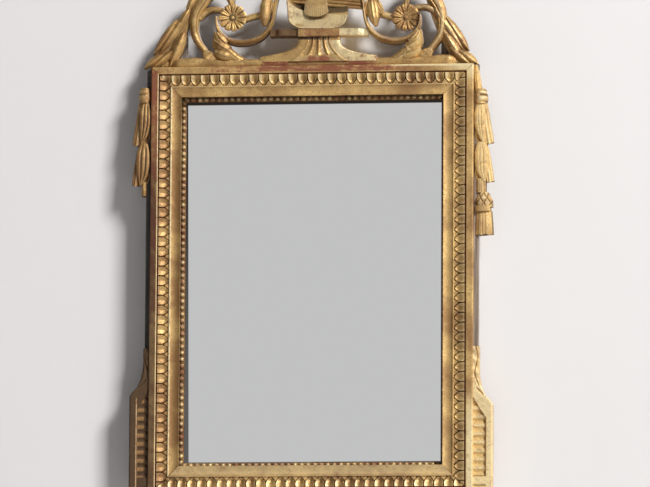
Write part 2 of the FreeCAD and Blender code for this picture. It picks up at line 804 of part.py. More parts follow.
def hung(points):
    """Places given outwards from the moulding and down from the frame's top."""
    return [(half_w + x, frame_h - t) for x, t in points]


def seated(pieces):
    """Fuse ornaments of the right-hand side and fit them to the wing."""
    whole = fused(pieces).cut(wing_seat).cut(moulding_side)
    return largest(whole)


def drop(top_stem, rows):
    """A knot, a bell of drapery and an oval leaf before a ribbon, right-hand side, measured down from the frame's top."""
    knot_top, first, second = rows
    foot = tassel_top - stub_l
    bell = [first + share * (second + drop_overlap - first) for share in bundle_shares]
    below = [second + share * (foot - second) for share in bundle_shares]
    pieces = [
        band(hung([(drop_x, knot_top + share * knot_l) for share in (0, 0.5, 1)]), knot_widths, drop_levels, 7),
        band(hung(zip(bell_x, bell)), bell_widths, drop_levels, 9),
        band(hung(zip(ribbon_x, below)), ribbon_widths, drop_levels[:2], 9),
        band(hung(zip(oval_x, below)), oval_widths, drop_levels, 9),
        band(hung([(drop_x, foot - drop_overlap), (drop_x, foot + stub_l / 2), (drop_x, tassel_top)]), [stub_w, stub_w], drop_levels, 5),
    ]
    if top_stem:
        pieces.append(band(hung(top_stem_line), top_stem_widths, drop_levels, 5))
    return seated(pieces)


def tassel():
    """Cap, collar and skirt, right-hand side."""
    pieces = []
    for rows, widths in (
        (tassel_cap, tassel_cap_widths),
        (tassel_collar, tassel_collar_widths),
        (tassel_skirt, tassel_skirt_widths),
    ):
        pieces.append(band(hung([(tassel_x, tassel_top + t) for t in rows]), widths, drop_levels, 7))
    return seated(pieces)


def console(shoulder):
    """Bracket with a leafy top, a sloping shoulder and a fluted panel, right-hand side."""
    x0, x1 = half_w, half_w + side_reach
    slope = [(x1 - x, shoulder + z) for x, z in console_slope]
    outline = [(x0, 0), (x1, 0), (x1, shoulder)] + slope + [(x0 + console_tip, console_h), (x0, console_h)]
    body = slab(outline, drop_back, console_front)
    panel_x, panel_top = x1 - console_stile, shoulder - console_panel_drop
    inner = x0 - through
    panel = [(inner, console_plinth), (panel_x, console_plinth), (panel_x, panel_top), (inner, panel_top + console_panel_rise)]
    body = body.cut(slab(panel, console_panel, console_front + through))
    flutes = []
    z = console_plinth + flute_pitch
    while z < panel_top:
        start = at(inner, console_panel + flute_r - flute_depth, z)
        flutes.append(Part.makeCylinder(flute_r, panel_x - inner, start, along))
        z += flute_pitch
    body = body.cut(Part.makeCompound(flutes).common(slab(panel, carcass_t, console_front + through)))
    return seated([body])


drop_right, drop_left = drop(True, drop_right_rows), mirrored(drop(False, drop_left_rows))
tassel_right = tassel()
console_right, console_left = console(shoulder_right), mirrored(console(shoulder_left))

# pins that hold the drops, the tassel and the consoles to the edges of the stiles
pin_depth = 0.5 * (drop_back + carcass_t)
pins, pin_holes = [], []
hung_pins = [frame_h - t for t in drop_pins]
for sx, places in ((1, hung_pins + [frame_h - tassel_top - tassel_pin]), (-1, hung_pins)):
    for z in places + list(console_pins):
        start = at(sx * (half_wing + pin_sink), pin_depth, z)
        pins.append(Part.makeCylinder(pin_r, pin_l, start, along * -sx))
        pin_holes.append(Part.makeCylinder(pin_r + fit, pin_l, start, along * -sx))
pin_holes = Part.makeCompound(pin_holes)
stile_left, stile_right = stile_left.cut(pin_holes), stile_right.cut(pin_holes)

save(hat_brim, "hat_brim")
save(hat_crown, "hat_crown")
save(Part.makeCompound(rods), "trophy_rods")
save(bow(), "ribbon_bow")
save(battens[0], "crest_batten_left")
save(battens[1], "crest_batten_right")
save(Part.makeCompound(screws), "batten_screws")
save(Part.makeCompound(dowels), "crest_dowels")
save(eye, "hanging_eye")
save(ring, "hanging_ring")
save(drop_left.cut(pin_holes), "side_drop_left")
save(drop_right.cut(pin_holes), "side_drop_right")
save(tassel_right.cut(pin_holes), "drop_tassel_right")
save(console_left.cut(pin_holes), "console_left")
save(console_right.cut(pin_holes), "console_right")
save(Part.makeCompound(pins), "ornament_pins")
save(stile_left, "carcass_left_stile")
save(stile_right, "carcass_right_stile")
save(rail_low, "carcass_bottom_rail")
save(rail_top, "carcass_top_rail")
save(pegs, "carcass_pegs")
save(scroll_left, "crest_scroll_left")
save(scroll_right, "crest_scroll_right")
save(rosette(-1, scroll_left), "rosette_left")
save(rosette(1, scroll_right), "rosette_right")
save(garland_left, "garland_left")
save(garland_right, "garland_right")
save(crest_rail, "crest_rail")
save(acanthus(-1), "acanthus_left")
save(acanthus(1), "acanthus_right")
save(bud(-1, scroll_left), "bud_left")
save(bud(1, scroll_right), "bud_right")
save(shelf, "trophy_shelf")
save(pedestal, "trophy_pedestal")
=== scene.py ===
# %% [markdown]
# A carved giltwood wall mirror, dressed for its picture.
# The solids already give every piece its size and its place. This lesson lays the carver's and the
# gilder's work over them: leaves, beads, flutes and veins as surfaces,
# and worn leaf over red clay as a finish.

# %% Load the frame
import math
import bpy
import numpy as np
from mathutils import Matrix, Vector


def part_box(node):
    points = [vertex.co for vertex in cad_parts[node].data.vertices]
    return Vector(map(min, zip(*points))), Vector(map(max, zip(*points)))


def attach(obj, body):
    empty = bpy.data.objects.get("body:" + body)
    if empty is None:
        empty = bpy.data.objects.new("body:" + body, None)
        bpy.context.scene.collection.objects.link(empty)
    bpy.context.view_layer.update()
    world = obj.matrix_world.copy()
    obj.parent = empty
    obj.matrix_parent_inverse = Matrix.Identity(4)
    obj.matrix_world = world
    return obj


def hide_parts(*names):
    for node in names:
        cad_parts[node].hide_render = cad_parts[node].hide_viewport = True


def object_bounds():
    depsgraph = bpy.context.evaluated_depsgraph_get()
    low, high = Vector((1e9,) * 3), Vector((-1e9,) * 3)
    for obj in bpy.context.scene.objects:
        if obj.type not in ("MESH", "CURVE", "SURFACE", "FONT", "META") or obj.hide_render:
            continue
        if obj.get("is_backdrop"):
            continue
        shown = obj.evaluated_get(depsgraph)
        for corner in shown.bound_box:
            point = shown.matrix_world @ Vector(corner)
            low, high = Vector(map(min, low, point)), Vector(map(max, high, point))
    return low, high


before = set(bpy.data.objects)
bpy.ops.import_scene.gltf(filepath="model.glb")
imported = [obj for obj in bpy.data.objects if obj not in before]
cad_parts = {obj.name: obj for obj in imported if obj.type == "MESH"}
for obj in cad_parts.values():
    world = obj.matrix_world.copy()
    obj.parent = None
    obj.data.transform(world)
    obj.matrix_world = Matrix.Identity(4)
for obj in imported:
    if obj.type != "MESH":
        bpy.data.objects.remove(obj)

cad_low, cad_high = (list(corner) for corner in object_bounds())
print("solids span", [round(h - l, 3) for l, h in zip(cad_low, cad_high)])

# %% [markdown]
# A carver thinks in millimetres across the face and in depth towards the viewer.
# So every surface here is worked out as (x, depth, z) in millimetres, x to the right, z up
# and depth counted forward from the back of the carcass, and one helper turns it into a mesh in metres.
# The frame's own sizes are read off the solids, so the carving follows them.

# %% Sizes read off the solids
MM = 0.001
top_low, top_high = (np.array(c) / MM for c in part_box("moulding_top"))
half_w, frame_h = top_high[0], top_high[2]
carcass_t = -top_high[1]
moulding_w = top_high[2] - top_low[2]
half_wing = np.array(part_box("carcass_right_stile")[1])[0] / MM
print("frame", round(2 * half_w), "x", round(frame_h), "mm, moulding", round(moulding_w), "mm wide")


# %% [markdown]
# Nearly everything on this frame is a sheet bent into a closed skin: a row of sections, each a loop of
# points. Meshes could be pushed about by hand, but a grid of points keeps the formula readable and the
# seams closed. The helper joins several grids into one piece, closes their ends and turns the faces
# outwards by looking at the sign of the volume that they enclose.

# %% Turn grids of points into a piece
def spots(x, depth, z):
    """Points (x, depth, z) on one common grid."""
    return np.stack(np.broadcast_arrays(x, depth, z), -1)


def grid_faces(rows, cols):
    """Quads between neighbouring sections of a looped grid, then one cap on each end."""
    i, j = np.meshgrid(np.arange(rows - 1) * cols, np.arange(cols), indexing="ij")
    k = (j + 1) % cols
    quads = np.stack([i + j, i + k, i + cols + k, i + cols + j], -1).reshape(-1, 4)
    return quads, [np.arange(cols)[::-1], np.arange(cols) + (rows - 1) * cols]


def volume_of(points, quads):
    """Signed volume: the sum over quads of the box product of corner and diagonals, over six."""
    a, b, c, d = (points[quads[:, n]] for n in range(4))
    return float((a * (np.cross(b, c) + np.cross(c, d))).sum()) / 6


def piece(name, grids, material, replaces=(), body="mirror", crease=38):
    """A closed mesh from grids, each a dict of points (rows, cols, 3) in mm and of marks on the same grid.
    Edges that turn by more than crease degrees stay sharp."""
    verts, faces, uvs, first = [], [], [], 0
    marks = {"carve": [], "rub": []}
    for g in grids:
        p = np.asarray(g["points"], float)
        rows, cols = p.shape[:2]
        quads, caps = grid_faces(rows, cols)
        flat = p.reshape(-1, 3) * [1, -1, 1] * MM
        if volume_of(flat - flat.mean(0), quads) < 0:
            quads, caps = quads[:, ::-1], [c[::-1] for c in caps]
        faces += (quads + first).tolist() + [(c + first).tolist() for c in caps]
        verts.append(flat)
        for key, parts in marks.items():
            parts.append(np.broadcast_to(g.get(key, 0.0), (rows, cols)).ravel())
        a, b = np.meshgrid(np.linspace(0, 1, rows), np.linspace(0, 1, cols), indexing="ij")
        uvs.append(np.stack(g.get("uv", (a, b)), -1).reshape(-1, 2))
        first += rows * cols
    mesh = bpy.data.meshes.new(name)
    mesh.from_pydata(np.concatenate(verts).tolist(), [], faces)
    corner = np.empty(len(mesh.loops), np.int64)
    mesh.loops.foreach_get("vertex_index", corner)
    flat_map = np.concatenate(uvs)[corner].astype(np.float32)
    mesh.uv_layers.new(name="face").data.foreach_set("uv", flat_map.ravel())
    for key, parts in marks.items():
        values = np.concatenate(parts).astype(np.float32)
        mesh.attributes.new(key, "FLOAT", "POINT").data.foreach_set("value", values)
    mesh.polygons.foreach_set("use_smooth", np.ones(len(mesh.polygons), bool))
    mesh.set_sharp_from_angle(angle=math.radians(crease))
    mesh.materials.append(material)
    made = bpy.data.objects.new(name, mesh)
    bpy.context.scene.collection.objects.link(made)
    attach(made, body)
    if replaces:
        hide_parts(*replaces)
    print(name, len(mesh.vertices), "vertices")
    return made


# %% [markdown]
# The gilding is the face of this object: gold leaf over red clay, rubbed through on the edges that
# dusters reach and dark with old size and dust in the hollows. A single gold colour would look like
# brass paint. So one node group mixes leaf, clay and grime by two marks that each carved surface carries,
# carve (above or below the general face) and rub (how far the leaf is gone), and by noise at several
# scales. The carve mark also carries painted light: raised for a painted highlight it turns the leaf
# pale, and lowered for painted shade it gives the grime colour.

# %% Wiring helpers for node trees
def wire(tree, kind, inputs=None, **settings):
    """Add a node, set its properties, and link or set its inputs by name or number."""
    node = tree.nodes.new(kind)
    for key, value in settings.items():
        setattr(node, key, value)
    for key, value in (inputs or {}).items():
        if isinstance(value, bpy.types.NodeSocket):
            tree.links.new(value, node.inputs[key])
        else:
            node.inputs[key].default_value = value
    return node


def maths(tree, operation, a, b=0.0, c=0.0, clamp=False):
    """One arithmetic node."""
    node = wire(tree, "ShaderNodeMath", {0: a, 1: b, 2: c}, operation=operation, use_clamp=clamp)
    return node.outputs[0]


def ramp(tree, value, low, high):
    """A mask that rises smoothly from 0 at low to 1 at high."""
    node = wire(tree, "ShaderNodeMapRange", {"Value": value, "From Min": low, "From Max": high},
                interpolation_type="SMOOTHSTEP")
    return node.outputs["Result"]


def tint(tree, factor, one, two):
    """A mix of two colours by a mask."""
    return wire(tree, "ShaderNodeMix", {0: factor, 6: one, 7: two}, data_type="RGBA").outputs[2]


def noise(tree, place, scale, detail=4.0, rough=0.55):
    """Cloudy noise read at a place, in units per metre."""
    node = wire(tree, "ShaderNodeTexNoise",
                {"Vector": place, "Scale": scale, "Detail": detail, "Roughness": rough})
    return node.outputs["Fac"]


def own_place(tree):
    """The piece's own coordinates, in metres."""
    return wire(tree, "ShaderNodeTexCoord").outputs["Object"]


def own_map(tree):
    """The piece's own flat map."""
    return wire(tree, "ShaderNodeUVMap", uv_map="face").outputs[0]


def pressed(tree, shader, height, depth, strength):
    """A bump so many metres deep, laid over any bump that the shader already has."""
    node = wire(tree, "ShaderNodeBump", {"Height": height, "Distance": depth, "Strength": strength})
    for before in shader.inputs["Normal"].links:
        tree.links.new(before.from_socket, node.inputs["Normal"])
    tree.links.new(node.outputs["Normal"], shader.inputs["Normal"])


def group(name, inputs, outputs):
    """An empty shader group with named sockets, given as (name, kind, value)."""
    tree = bpy.data.node_groups.new(name, "ShaderNodeTree")
    for label, kind, value in inputs:
        tree.interface.new_socket(label, in_out="INPUT", socket_type=kind).default_value = value
    for label, kind in outputs:
        tree.interface.new_socket(label, in_out="OUTPUT", socket_type=kind)
    return tree, tree.nodes.new("NodeGroupInput").outputs, tree.nodes.new("NodeGroupOutput").inputs


# %% Worn gilding as a node group
FLOAT, COLOUR, VECTOR = "NodeSocketFloat", "NodeSocketColor", "NodeSocketVector"
gold_pale, gold_deep, burnish_and_highlight = (0.75, 0.505, 0.20, 1), (0.36, 0.195, 0.075, 1), (0.99, 0.84, 0.50, 1)
clay_red, clay_pale = (0.20, 0.050, 0.022, 1), (0.30, 0.105, 0.045, 1)
grime_and_shade_brown, freckle_brown = (0.030, 0.015, 0.008, 1), (0.22, 0.11, 0.04, 1)
cloud_scale, patch_scale, clay_scale, crack_scale, freckle_scale = 22.0, 90.0, 150.0, 190.0, 420.0

gilding, g_in, g_out = group(
    "worn_gilding",
    [("Carve", FLOAT, 0.0), ("Rub", FLOAT, 0.0), ("Clay", FLOAT, 0.3),
     ("Grime", FLOAT, 0.8), ("Tone", FLOAT, 0.5), ("Leaf", FLOAT, 0.6)],
    [("Colour", COLOUR), ("Roughness", FLOAT), ("Metallic", FLOAT), ("Height", FLOAT)])
place = own_place(gilding)

# The leaf: pale to deep in clouds, freckled, and burnished where it stands proud; painted highlights laid
# into the carve mark turn pale the same way
cloud = ramp(gilding, noise(gilding, place, cloud_scale, 5.0), 0.3, 0.7)
deeper = maths(gilding, "SUBTRACT", g_in["Tone"], 0.5)
gold = tint(gilding, maths(gilding, "ADD", cloud, deeper, clamp=True), gold_pale, gold_deep)
freckle = noise(gilding, place, freckle_scale, 3.0, 0.7)
freckled = maths(gilding, "MULTIPLY", ramp(gilding, freckle, 0.50, 0.70), 0.6)
gold = tint(gilding, freckled, gold, freckle_brown)
proud = maths(gilding, "MAXIMUM", g_in["Carve"], 0.0)
polish_and_highlight = maths(gilding, "MULTIPLY", ramp(gilding, proud, 0.25, 1.0), 0.8)
gold = tint(gilding, polish_and_highlight, gold, burnish_and_highlight)

# The clay: bare where patches, height, rubbing and the finish's own share add up
worn = noise(gilding, place, patch_scale, 8.0, 0.72)
for cause, share in ((proud, 0.10), (g_in["Rub"], 0.34), (g_in["Clay"], 0.12)):
    worn = maths(gilding, "MULTIPLY_ADD", cause, share, worn)
bare = ramp(gilding, worn, 0.60, 0.92)
clay = tint(gilding, noise(gilding, place, clay_scale, 3.0), clay_red, clay_pale)
face = tint(gilding, bare, gold, clay)

# The grime: in hollows and in fine cracks, and painted shade wherever the carve mark is lowered for it
cells = wire(gilding, "ShaderNodeTexVoronoi", {"Vector": place, "Scale": crack_scale},
             feature="DISTANCE_TO_EDGE")
crack = maths(gilding, "SUBTRACT", 1.0, ramp(gilding, cells.outputs["Distance"], 0.0, 0.05))
sunk = maths(gilding, "MAXIMUM", maths(gilding, "MULTIPLY", g_in["Carve"], -1.0), 0.0)
dust_and_shade = maths(gilding, "MULTIPLY", ramp(gilding, sunk, 0.05, 0.9), g_in["Grime"])
dust_and_shade = maths(gilding, "MAXIMUM", dust_and_shade, maths(gilding, "MULTIPLY", crack, 0.22))
face = tint(gilding, dust_and_shade, face, grime_and_shade_brown)

# Dull where the leaf is thin, bare or dusty, metal only where it is whole and clean
dull = maths(gilding, "MULTIPLY_ADD", g_in["Leaf"], -0.3, 0.62)
for cause, share in ((bare, 0.18), (dust_and_shade, 0.25), (freckle, 0.12)):
    dull = maths(gilding, "MULTIPLY_ADD", cause, share, dull)
whole = maths(gilding, "SUBTRACT", 1.0, maths(gilding, "MAXIMUM", bare, dust_and_shade))
shine = maths(gilding, "MULTIPLY", g_in["Leaf"], whole)
rise = maths(gilding, "MULTIPLY_ADD", bare, -0.35, maths(gilding, "MULTIPLY", freckle, 0.5))
rise = maths(gilding, "MULTIPLY_ADD", crack, -0.25, rise)
for label, result in (("Colour", face), ("Roughness", dull), ("Metallic", shine), ("Height", rise)):
    gilding.links.new(result, g_out[label])
print("group", gilding.name, len(gilding.nodes), "nodes")


# %% A gilt finish made from the group
def finish(name):
    """An empty material with its Principled shader, ready to be wired."""
    mat = bpy.data.materials.new(name)
    mat.use_nodes = True
    return mat, mat.node_tree, mat.node_tree.nodes["Principled BSDF"]


# Waves of noise per metre along the run and across it
STREAKED = (12.0, 380.0, 1.0)


def gilt(name, clay=0.3, grime=0.8, tone=0.5, leaf=0.6, bump=0.00035, streaks=0.0):
    """Worn gilding with its own share of clay, grime, depth of tone and metal;
    streaks lengthen the rubbed places along the run."""
    mat, tree, shader = finish(name)
    carve = wire(tree, "ShaderNodeAttribute", attribute_name="carve").outputs["Fac"]
    rub = wire(tree, "ShaderNodeAttribute", attribute_name="rub").outputs["Fac"]
    if streaks:
        run = wire(tree, "ShaderNodeMapping", {"Vector": own_map(tree), "Scale": STREAKED}).outputs["Vector"]
        drawn = maths(tree, "MULTIPLY_ADD", noise(tree, run, 1.0, 5.0), 2 * streaks, 1 - streaks)
        rub = maths(tree, "MULTIPLY", rub, drawn)
    shares = {"Carve": carve, "Rub": rub, "Clay": clay, "Grime": grime, "Tone": tone, "Leaf": leaf}
    skin = wire(tree, "ShaderNodeGroup", shares, node_tree=gilding)
    for key, socket in (("Colour", "Base Color"), ("Roughness", "Roughness"), ("Metallic", "Metallic")):
        tree.links.new(skin.outputs[key], shader.inputs[socket])
    pressed(tree, shader, skin.outputs["Height"], bump, 0.8)
    return mat


gilt_moulding = gilt("gilt_moulding", clay=0.15, tone=0.45, leaf=0.5, streaks=0.8)
gilt_bead = gilt("gilt_bead", clay=0.6, grime=0.95, tone=0.7, leaf=0.5)
gilt_carving = gilt("gilt_carving", clay=0.3, grime=0.95, tone=0.4, leaf=0.7, bump=0.0007)
gilt_matt = gilt("gilt_matt", clay=0.1, grime=0.8, tone=0.15, leaf=0.25)
gilt_shaded = gilt("gilt_shaded", clay=0.35, grime=0.9, tone=0.75, leaf=0.45)
# A darker copy for the left console: painted shade
gilt_painted_shade = gilt("gilt_painted_shade", clay=0.4, grime=0.8, tone=1.3, leaf=0.3)
# A darker copy for the left moulding, with a little more clay: painted shade
gilt_warm_shaded = gilt("gilt_warm_shaded", clay=0.2, tone=0.75, leaf=0.5, streaks=0.8)
print("finishes", [mat.name for mat in bpy.data.materials if mat.name.startswith("gilt_")])

# %% [markdown]
# The four mouldings carry a plain fascia, a leaf course, a bright fillet and a hollow.
# A joiner would plane the section and a carver would set in the leaves with gouges. The same two steps
# work here: a section (inward, rise) is carried along each side to its mitres, and a relief is added
# where the leaves are. Each tongue narrows to a tip and is scooped out with a gouge, deeper in the top
# and bottom courses than in the uprights, and a small dart stands in the fork between two tips.

# %% Section of the moulding
fascia_w, quirk_w, leaf_w, fillet_w = 10.5, 2.4, 15.6, 2.6
fascia_v, quirk_v, leaf_top_v, leaf_low_v = 9.0, 5.5, 8.0, 4.2
fillet_v, cove_v, lip_v = 5.2, 2.6, 5.0
leaf_u = fascia_w + quirk_w
fillet_u = leaf_u + leaf_w
cove_u = fillet_u + fillet_w
edge_round = 1.2
leaf_pitch, leaf_cut = 14.7, 4.3
taper_from, gouge_deepest, gouge_end, dart_rise = 0.3, 0.6, 0.98, 0.75


def ease(x):
    """The smooth step 3x^2 - 2x^3 between 0 and 1."""
    x = np.clip(x, 0, 1)
    return x * x * (3 - 2 * x)


def swell(x, middle, width, power=2):
    """A smooth hump of unit height: e^-((x - middle) / width)^power, for even powers."""
    return np.exp(-(((x - middle) / width) ** power))


def section():
    """Points (inward, rise) round the moulding: fascia, quirk, falling ogee, fillet, hollow, lip, flat back.
    The ogee is a smooth step, and the hollow sags as a parabola from the fillet to the lip."""
    w = np.linspace(0, 1, 25)
    leaf = np.stack([leaf_u + w * leaf_w, leaf_top_v + (leaf_low_v - leaf_top_v) * ease(w)], 1)
    c = np.linspace(0, 1, 13)
    sag = (leaf_low_v - cove_v) * 4 * c * (1 - c)
    hollow = np.stack([cove_u + c * (moulding_w - cove_u), leaf_low_v + (lip_v - leaf_low_v) * c - sag], 1)
    r = edge_round
    before = [(0, 0), (0, 4), (0, fascia_v - r), (0.3 * r, fascia_v - 0.3 * r), (r, fascia_v)]
    flat = [(u, fascia_v) for u in np.linspace(2 * r, fascia_w - 0.6, 6)]
    quirk = [(fascia_w, fascia_v - 0.5), (fascia_w + 0.2, quirk_v),
             (leaf_u - 0.2, quirk_v), (leaf_u, quirk_v + 1)]
    fillet = [(fillet_u + 0.1, fillet_v - 0.3), (fillet_u + 0.5, fillet_v),
              (cove_u - 0.5, fillet_v), (cove_u - 0.1, fillet_v - 0.3)]
    after = [(moulding_w, lip_v - 0.6), (moulding_w, 0)]
    return np.array(before + flat + quirk + leaf.tolist() + fillet + hollow.tolist() + after)


def leaf_relief(along, inward, gouge):
    """Depth cut into the leaf course, and its mark.
    t runs from 0 on a tongue to 1 on a slit, and w from the outer to the inner edge of the course.
    The tongue's half width, reach, narrows to a tip. The gouge cuts it as 1 - (t / reach)^1.25 across and
    as two smooth steps along w, up to its deepest place and down to the tip. A dart fills the fork."""
    t = np.abs(along / leaf_pitch - np.round(along / leaf_pitch)) * 2
    w = np.clip((inward - leaf_u) / leaf_w, 0, 1)
    reach = 0.95 * np.clip(1 - (np.clip(w - taper_from, 0, 1) / 0.68) ** 2, 0, 1) ** 0.8 + 0.02
    across = np.clip(1 - (t / np.maximum(reach, 0.05)) ** 1.25, 0, 1)
    deepening = ease(0.35 + 0.65 * w / gouge_deepest)
    rising = ease((gouge_end - w) / (gouge_end - gouge_deepest))
    scoop = across * np.where(w < gouge_deepest, deepening, rising)
    body = ease((reach - t) / 0.11)
    dart = dart_rise * ease((0.8 * np.clip((w - 0.5) / 0.5, 0, 1) - (1 - t)) / 0.16)
    filled = np.maximum(body * (1 - gouge * scoop), dart)
    ridge = body * (1 - scoop) * (1 - 0.8 * ease((w - 0.55) / 0.3))
    slit = 1 - np.maximum(body, dart / dart_rise)
    mark = 0.7 * ridge + 0.5 * dart - 0.6 * slit
    on = (inward > leaf_u - 0.01) & (inward < fillet_u + 0.01)
    return np.where(on, leaf_cut * (filled - 0.9), 0.0), np.where(on, mark, 0.0)


print("section of", len(section()), "points")


# %% Carry the section along the four sides
SIDES = {"top": (2 * half_w, lambda a, u: (a - half_w, frame_h - u)),
         "bottom": (2 * half_w, lambda a, u: (half_w - a, u)),
         "left": (frame_h, lambda a, u: (u - half_w, a)),
         "right": (frame_h, lambda a, u: (half_w - u, frame_h - a))}
# Share of a tongue's height that the gouge takes out
GOUGE = {"top": 0.95, "bottom": 0.95, "left": 0.5, "right": 0.5}
# Painted light across each tongue: how far it swings from the lit half to the shaded half, and the painted
# shade of the whole course
HALF_LIT = {"top": (-0.5, -0.2), "bottom": (0.5, -0.2), "left": (0.0, 0.0), "right": (0.0, 0.0)}
CLAY_ON_FASCIA = {"top": 0.45, "bottom": 0.3, "left": 1.25, "right": 0.0}
# Marks on fascia, cove and fillet: below 0 darker, above 0 brighter. They hold soil, painted shade on the
# left fascia and painted highlights on the fillets, brightest on the left
SOIL_AND_PAINTED_LIGHT = {"top": (0.0, 0.1, 0.45), "bottom": (0.1, 0.55, 0.45),
        "left": (-0.7, -0.15, 1.2), "right": (0.0, -0.15, 0.2)}
steps_per_leaf = 20


def hand(x, z):
    """The unevenness of hand work, about -1 to 1: a few crossed waves of the place."""
    return (np.sin(0.031 * x + 1.7 * np.sin(0.017 * z)) + np.sin(0.043 * z + 1.3 * np.sin(0.023 * x + 0.6))
            + 0.7 * np.sin(0.11 * x + 0.13 * z + 1.1)) / 2.7


def aged(side, u, along, x, z, carve, joint):
    """Marks of age and painted light on one side. To the carving's own mark come the side's soil, painted
    shade on the left and over the courses, painted light on one half of each tongue, a painted highlight low
    on the right, on the arrises and on the fillets, dark joints and a painted glint by the upper right corner
    and along the top's outer edge. The clay shows in the quirk and in patches on the fascia, fewer low down."""
    fascia, cove = u < fascia_w, u > cove_u
    course, fillet = (u > leaf_u) & (u < fillet_u), (u > fillet_u) & (u < cove_u)
    arris = (u > fascia_w - 1.3) & (u < fascia_w + 0.1)
    quirk = (u > fascia_w + 0.1) & (u < leaf_u - 0.05)
    on_fascia, in_cove, on_fillet = SOIL_AND_PAINTED_LIGHT[side]
    on_fascia = on_fascia * (1 - 0.75 * ease((z - 430) / 150))
    # Painted light on one half of each tongue and painted shade over the course
    swing, shade = HALF_LIT[side]
    half_lit = swing * np.sin(2 * math.pi * along / leaf_pitch) + shade
    carve = carve + half_lit * (u > leaf_u) * (u < leaf_u + 0.8 * leaf_w)
    # Painted light low on the right fascia and cove, and painted shade on the left course
    painted_light_low_right = (side == "right") * (1.1 * fascia + 0.5 * cove) * ease((220 - z) / 160)
    carve = carve + on_fascia * fascia + in_cove * cove + painted_light_low_right - 0.2 * (side == "left") * course
    carve = np.where(fillet, on_fillet, np.where(quirk, -0.45, carve))
    # A painted glint by the upper right corner and along the top's outer edge
    corner = fascia * swell(x, half_w, 50) * swell(z, frame_h, 30)
    painted_glint = (side == "top") * (u < 2.5) * ease((x - 60) / 90) + corner
    # Arrises carry a painted highlight, strongest on the left
    carve = np.where(arris, 0.9 if side == "left" else 0.4, np.where(joint, -1.0, carve + 0.9 * painted_glint))
    patches = CLAY_ON_FASCIA[side] * (0.8 + 0.35 * hand(1.7 * x, 1.3 * z))
    handled = (side == "top") * (0.75 + 0.45 * hand(2.3 * x, 9 * z)) * swell(x, 5, 130, 4)
    red = patches * (0.3 + 0.7 * ease((z - 180) / 250)) - 0.6 * painted_glint + handled
    return carve, np.where(quirk, 1.2, np.where(arris | (u > fascia_w), 0.05, red))


def run_of(side, steps):
    """Grid of the moulding on one side: at inset u the length runs from u to L - u, so the ends meet
    on the mitre, where the joint is a little sunk."""
    length, put = SIDES[side]
    u, v = section().T[:, None, :]
    s = np.linspace(0, 1, steps)[:, None]
    along = u + s * (length - 2 * u)
    x, z = put(along, u)
    joint = (s == 0) | (s == 1)
    cut, carve = leaf_relief(along - length / 2, u + 0 * s, GOUGE[side])
    depth = carcass_t + v + cut + (0.18 * hand(3 * x, 3 * z) - 0.5 * joint) * (v > 0.5)
    carve, rub = aged(side, u, along - length / 2, x, z, carve, joint)
    return {"points": spots(x, depth, z), "carve": carve, "rub": rub, "uv": (along * MM, u * MM + 0 * along)}


for side, (length, _) in SIDES.items():
    run = run_of(side, int(length / leaf_pitch * steps_per_leaf))
    # The left moulding takes the darker copy of the gilding: painted shade
    leafing = gilt_warm_shaded if side == "left" else gilt_moulding
    piece("carved_moulding_" + side, [run], leafing, ["moulding_" + side])

# %% [markdown]
# A string of beads edges the glass, turned beads in effect, cut from one strip. Separate spheres would
# float or clash, so one half-round grid runs along each strip and its radius swells and shrinks:
# within a bead the place along goes as a cosine and the radius as a sine, which makes each swelling
# a true sphere.

# %% Bead slips
slip_half, slip_low, slip_t, lip_overhang = 4.4, 14.0, 3.0, 3.0
bead_r, bead_neck, bead_in, bead_pitch = 3.75, 0.9, 0.55, 9.75
right_tuck = 2.5


def beads_of(side):
    """A flat strip with a half-round on it whose radius is bead_r sin(theta) within each bead,
    theta running from 0 to pi; the ends of the strip lean to the mitre."""
    length, put = SIDES[side]
    middle = moulding_w - lip_overhang + slip_half
    run = length - 2 * middle
    count = int(round(run / bead_pitch))
    bead, theta = np.meshgrid(np.arange(count), np.linspace(0, math.pi, 10), indexing="ij")
    place = ((bead + 0.5 - np.cos(theta) * bead_r / bead_pitch) / count).ravel()
    radius = np.r_[bead_neck, np.maximum(bead_r * np.sin(theta), bead_neck).ravel(), bead_neck][:, None]
    far = run * np.r_[0.0, place, 1.0][:, None]
    phi = np.linspace(math.pi, 0, 11)[None, :]
    edge = np.full_like(far, slip_half)
    low, flat = np.full_like(far, slip_low), np.full_like(far, slip_low + slip_t - 0.5)
    off = np.concatenate([-edge, -edge, bead_in + radius * np.cos(phi), edge, edge], 1)
    depth = np.concatenate([low, flat, flat + radius * np.sin(phi), flat, low], 1)
    lean = np.clip(1 - far / (2 * slip_half), 0, 1) - np.clip(1 - (run - far) / (2 * slip_half), 0, 1)
    x, z = put(middle + far + off * lean, middle + off)
    x = x + right_tuck * (side == "right")
    carve = np.clip((depth - flat) / bead_r * 2.0 - 1.0, -0.55, 0.8)
    carve[:, [-2]] = -0.35
    return {"points": spots(x, depth, z), "carve": carve, "rub": 0.3 + 0.2 * hand(2 * x, 2 * z)}


for side in SIDES:
    piece("carved_beads_" + side, [beads_of(side)], gilt_bead, ["bead_slip_" + side], crease=80)

# %% [markdown]
# The crest is pierced and carved: a stem and a volute on each side, leaves, rosettes and a straw hat in
# the middle. A carver saws the outline first and then rounds each band. A strip does the same here: it
# follows a smooth line, its width changes along the way, its face is arched, and grooves or veins are
# a relief over the two parameters a (0 to 1 along) and b (-1 to 1 across).
# One side is worked out and the other is its mirror image.

# %% A carved strip along a smooth line
crest_off, left_spread, crest_back, stem_front = 9.0, 1.026, 10.0, 27.0


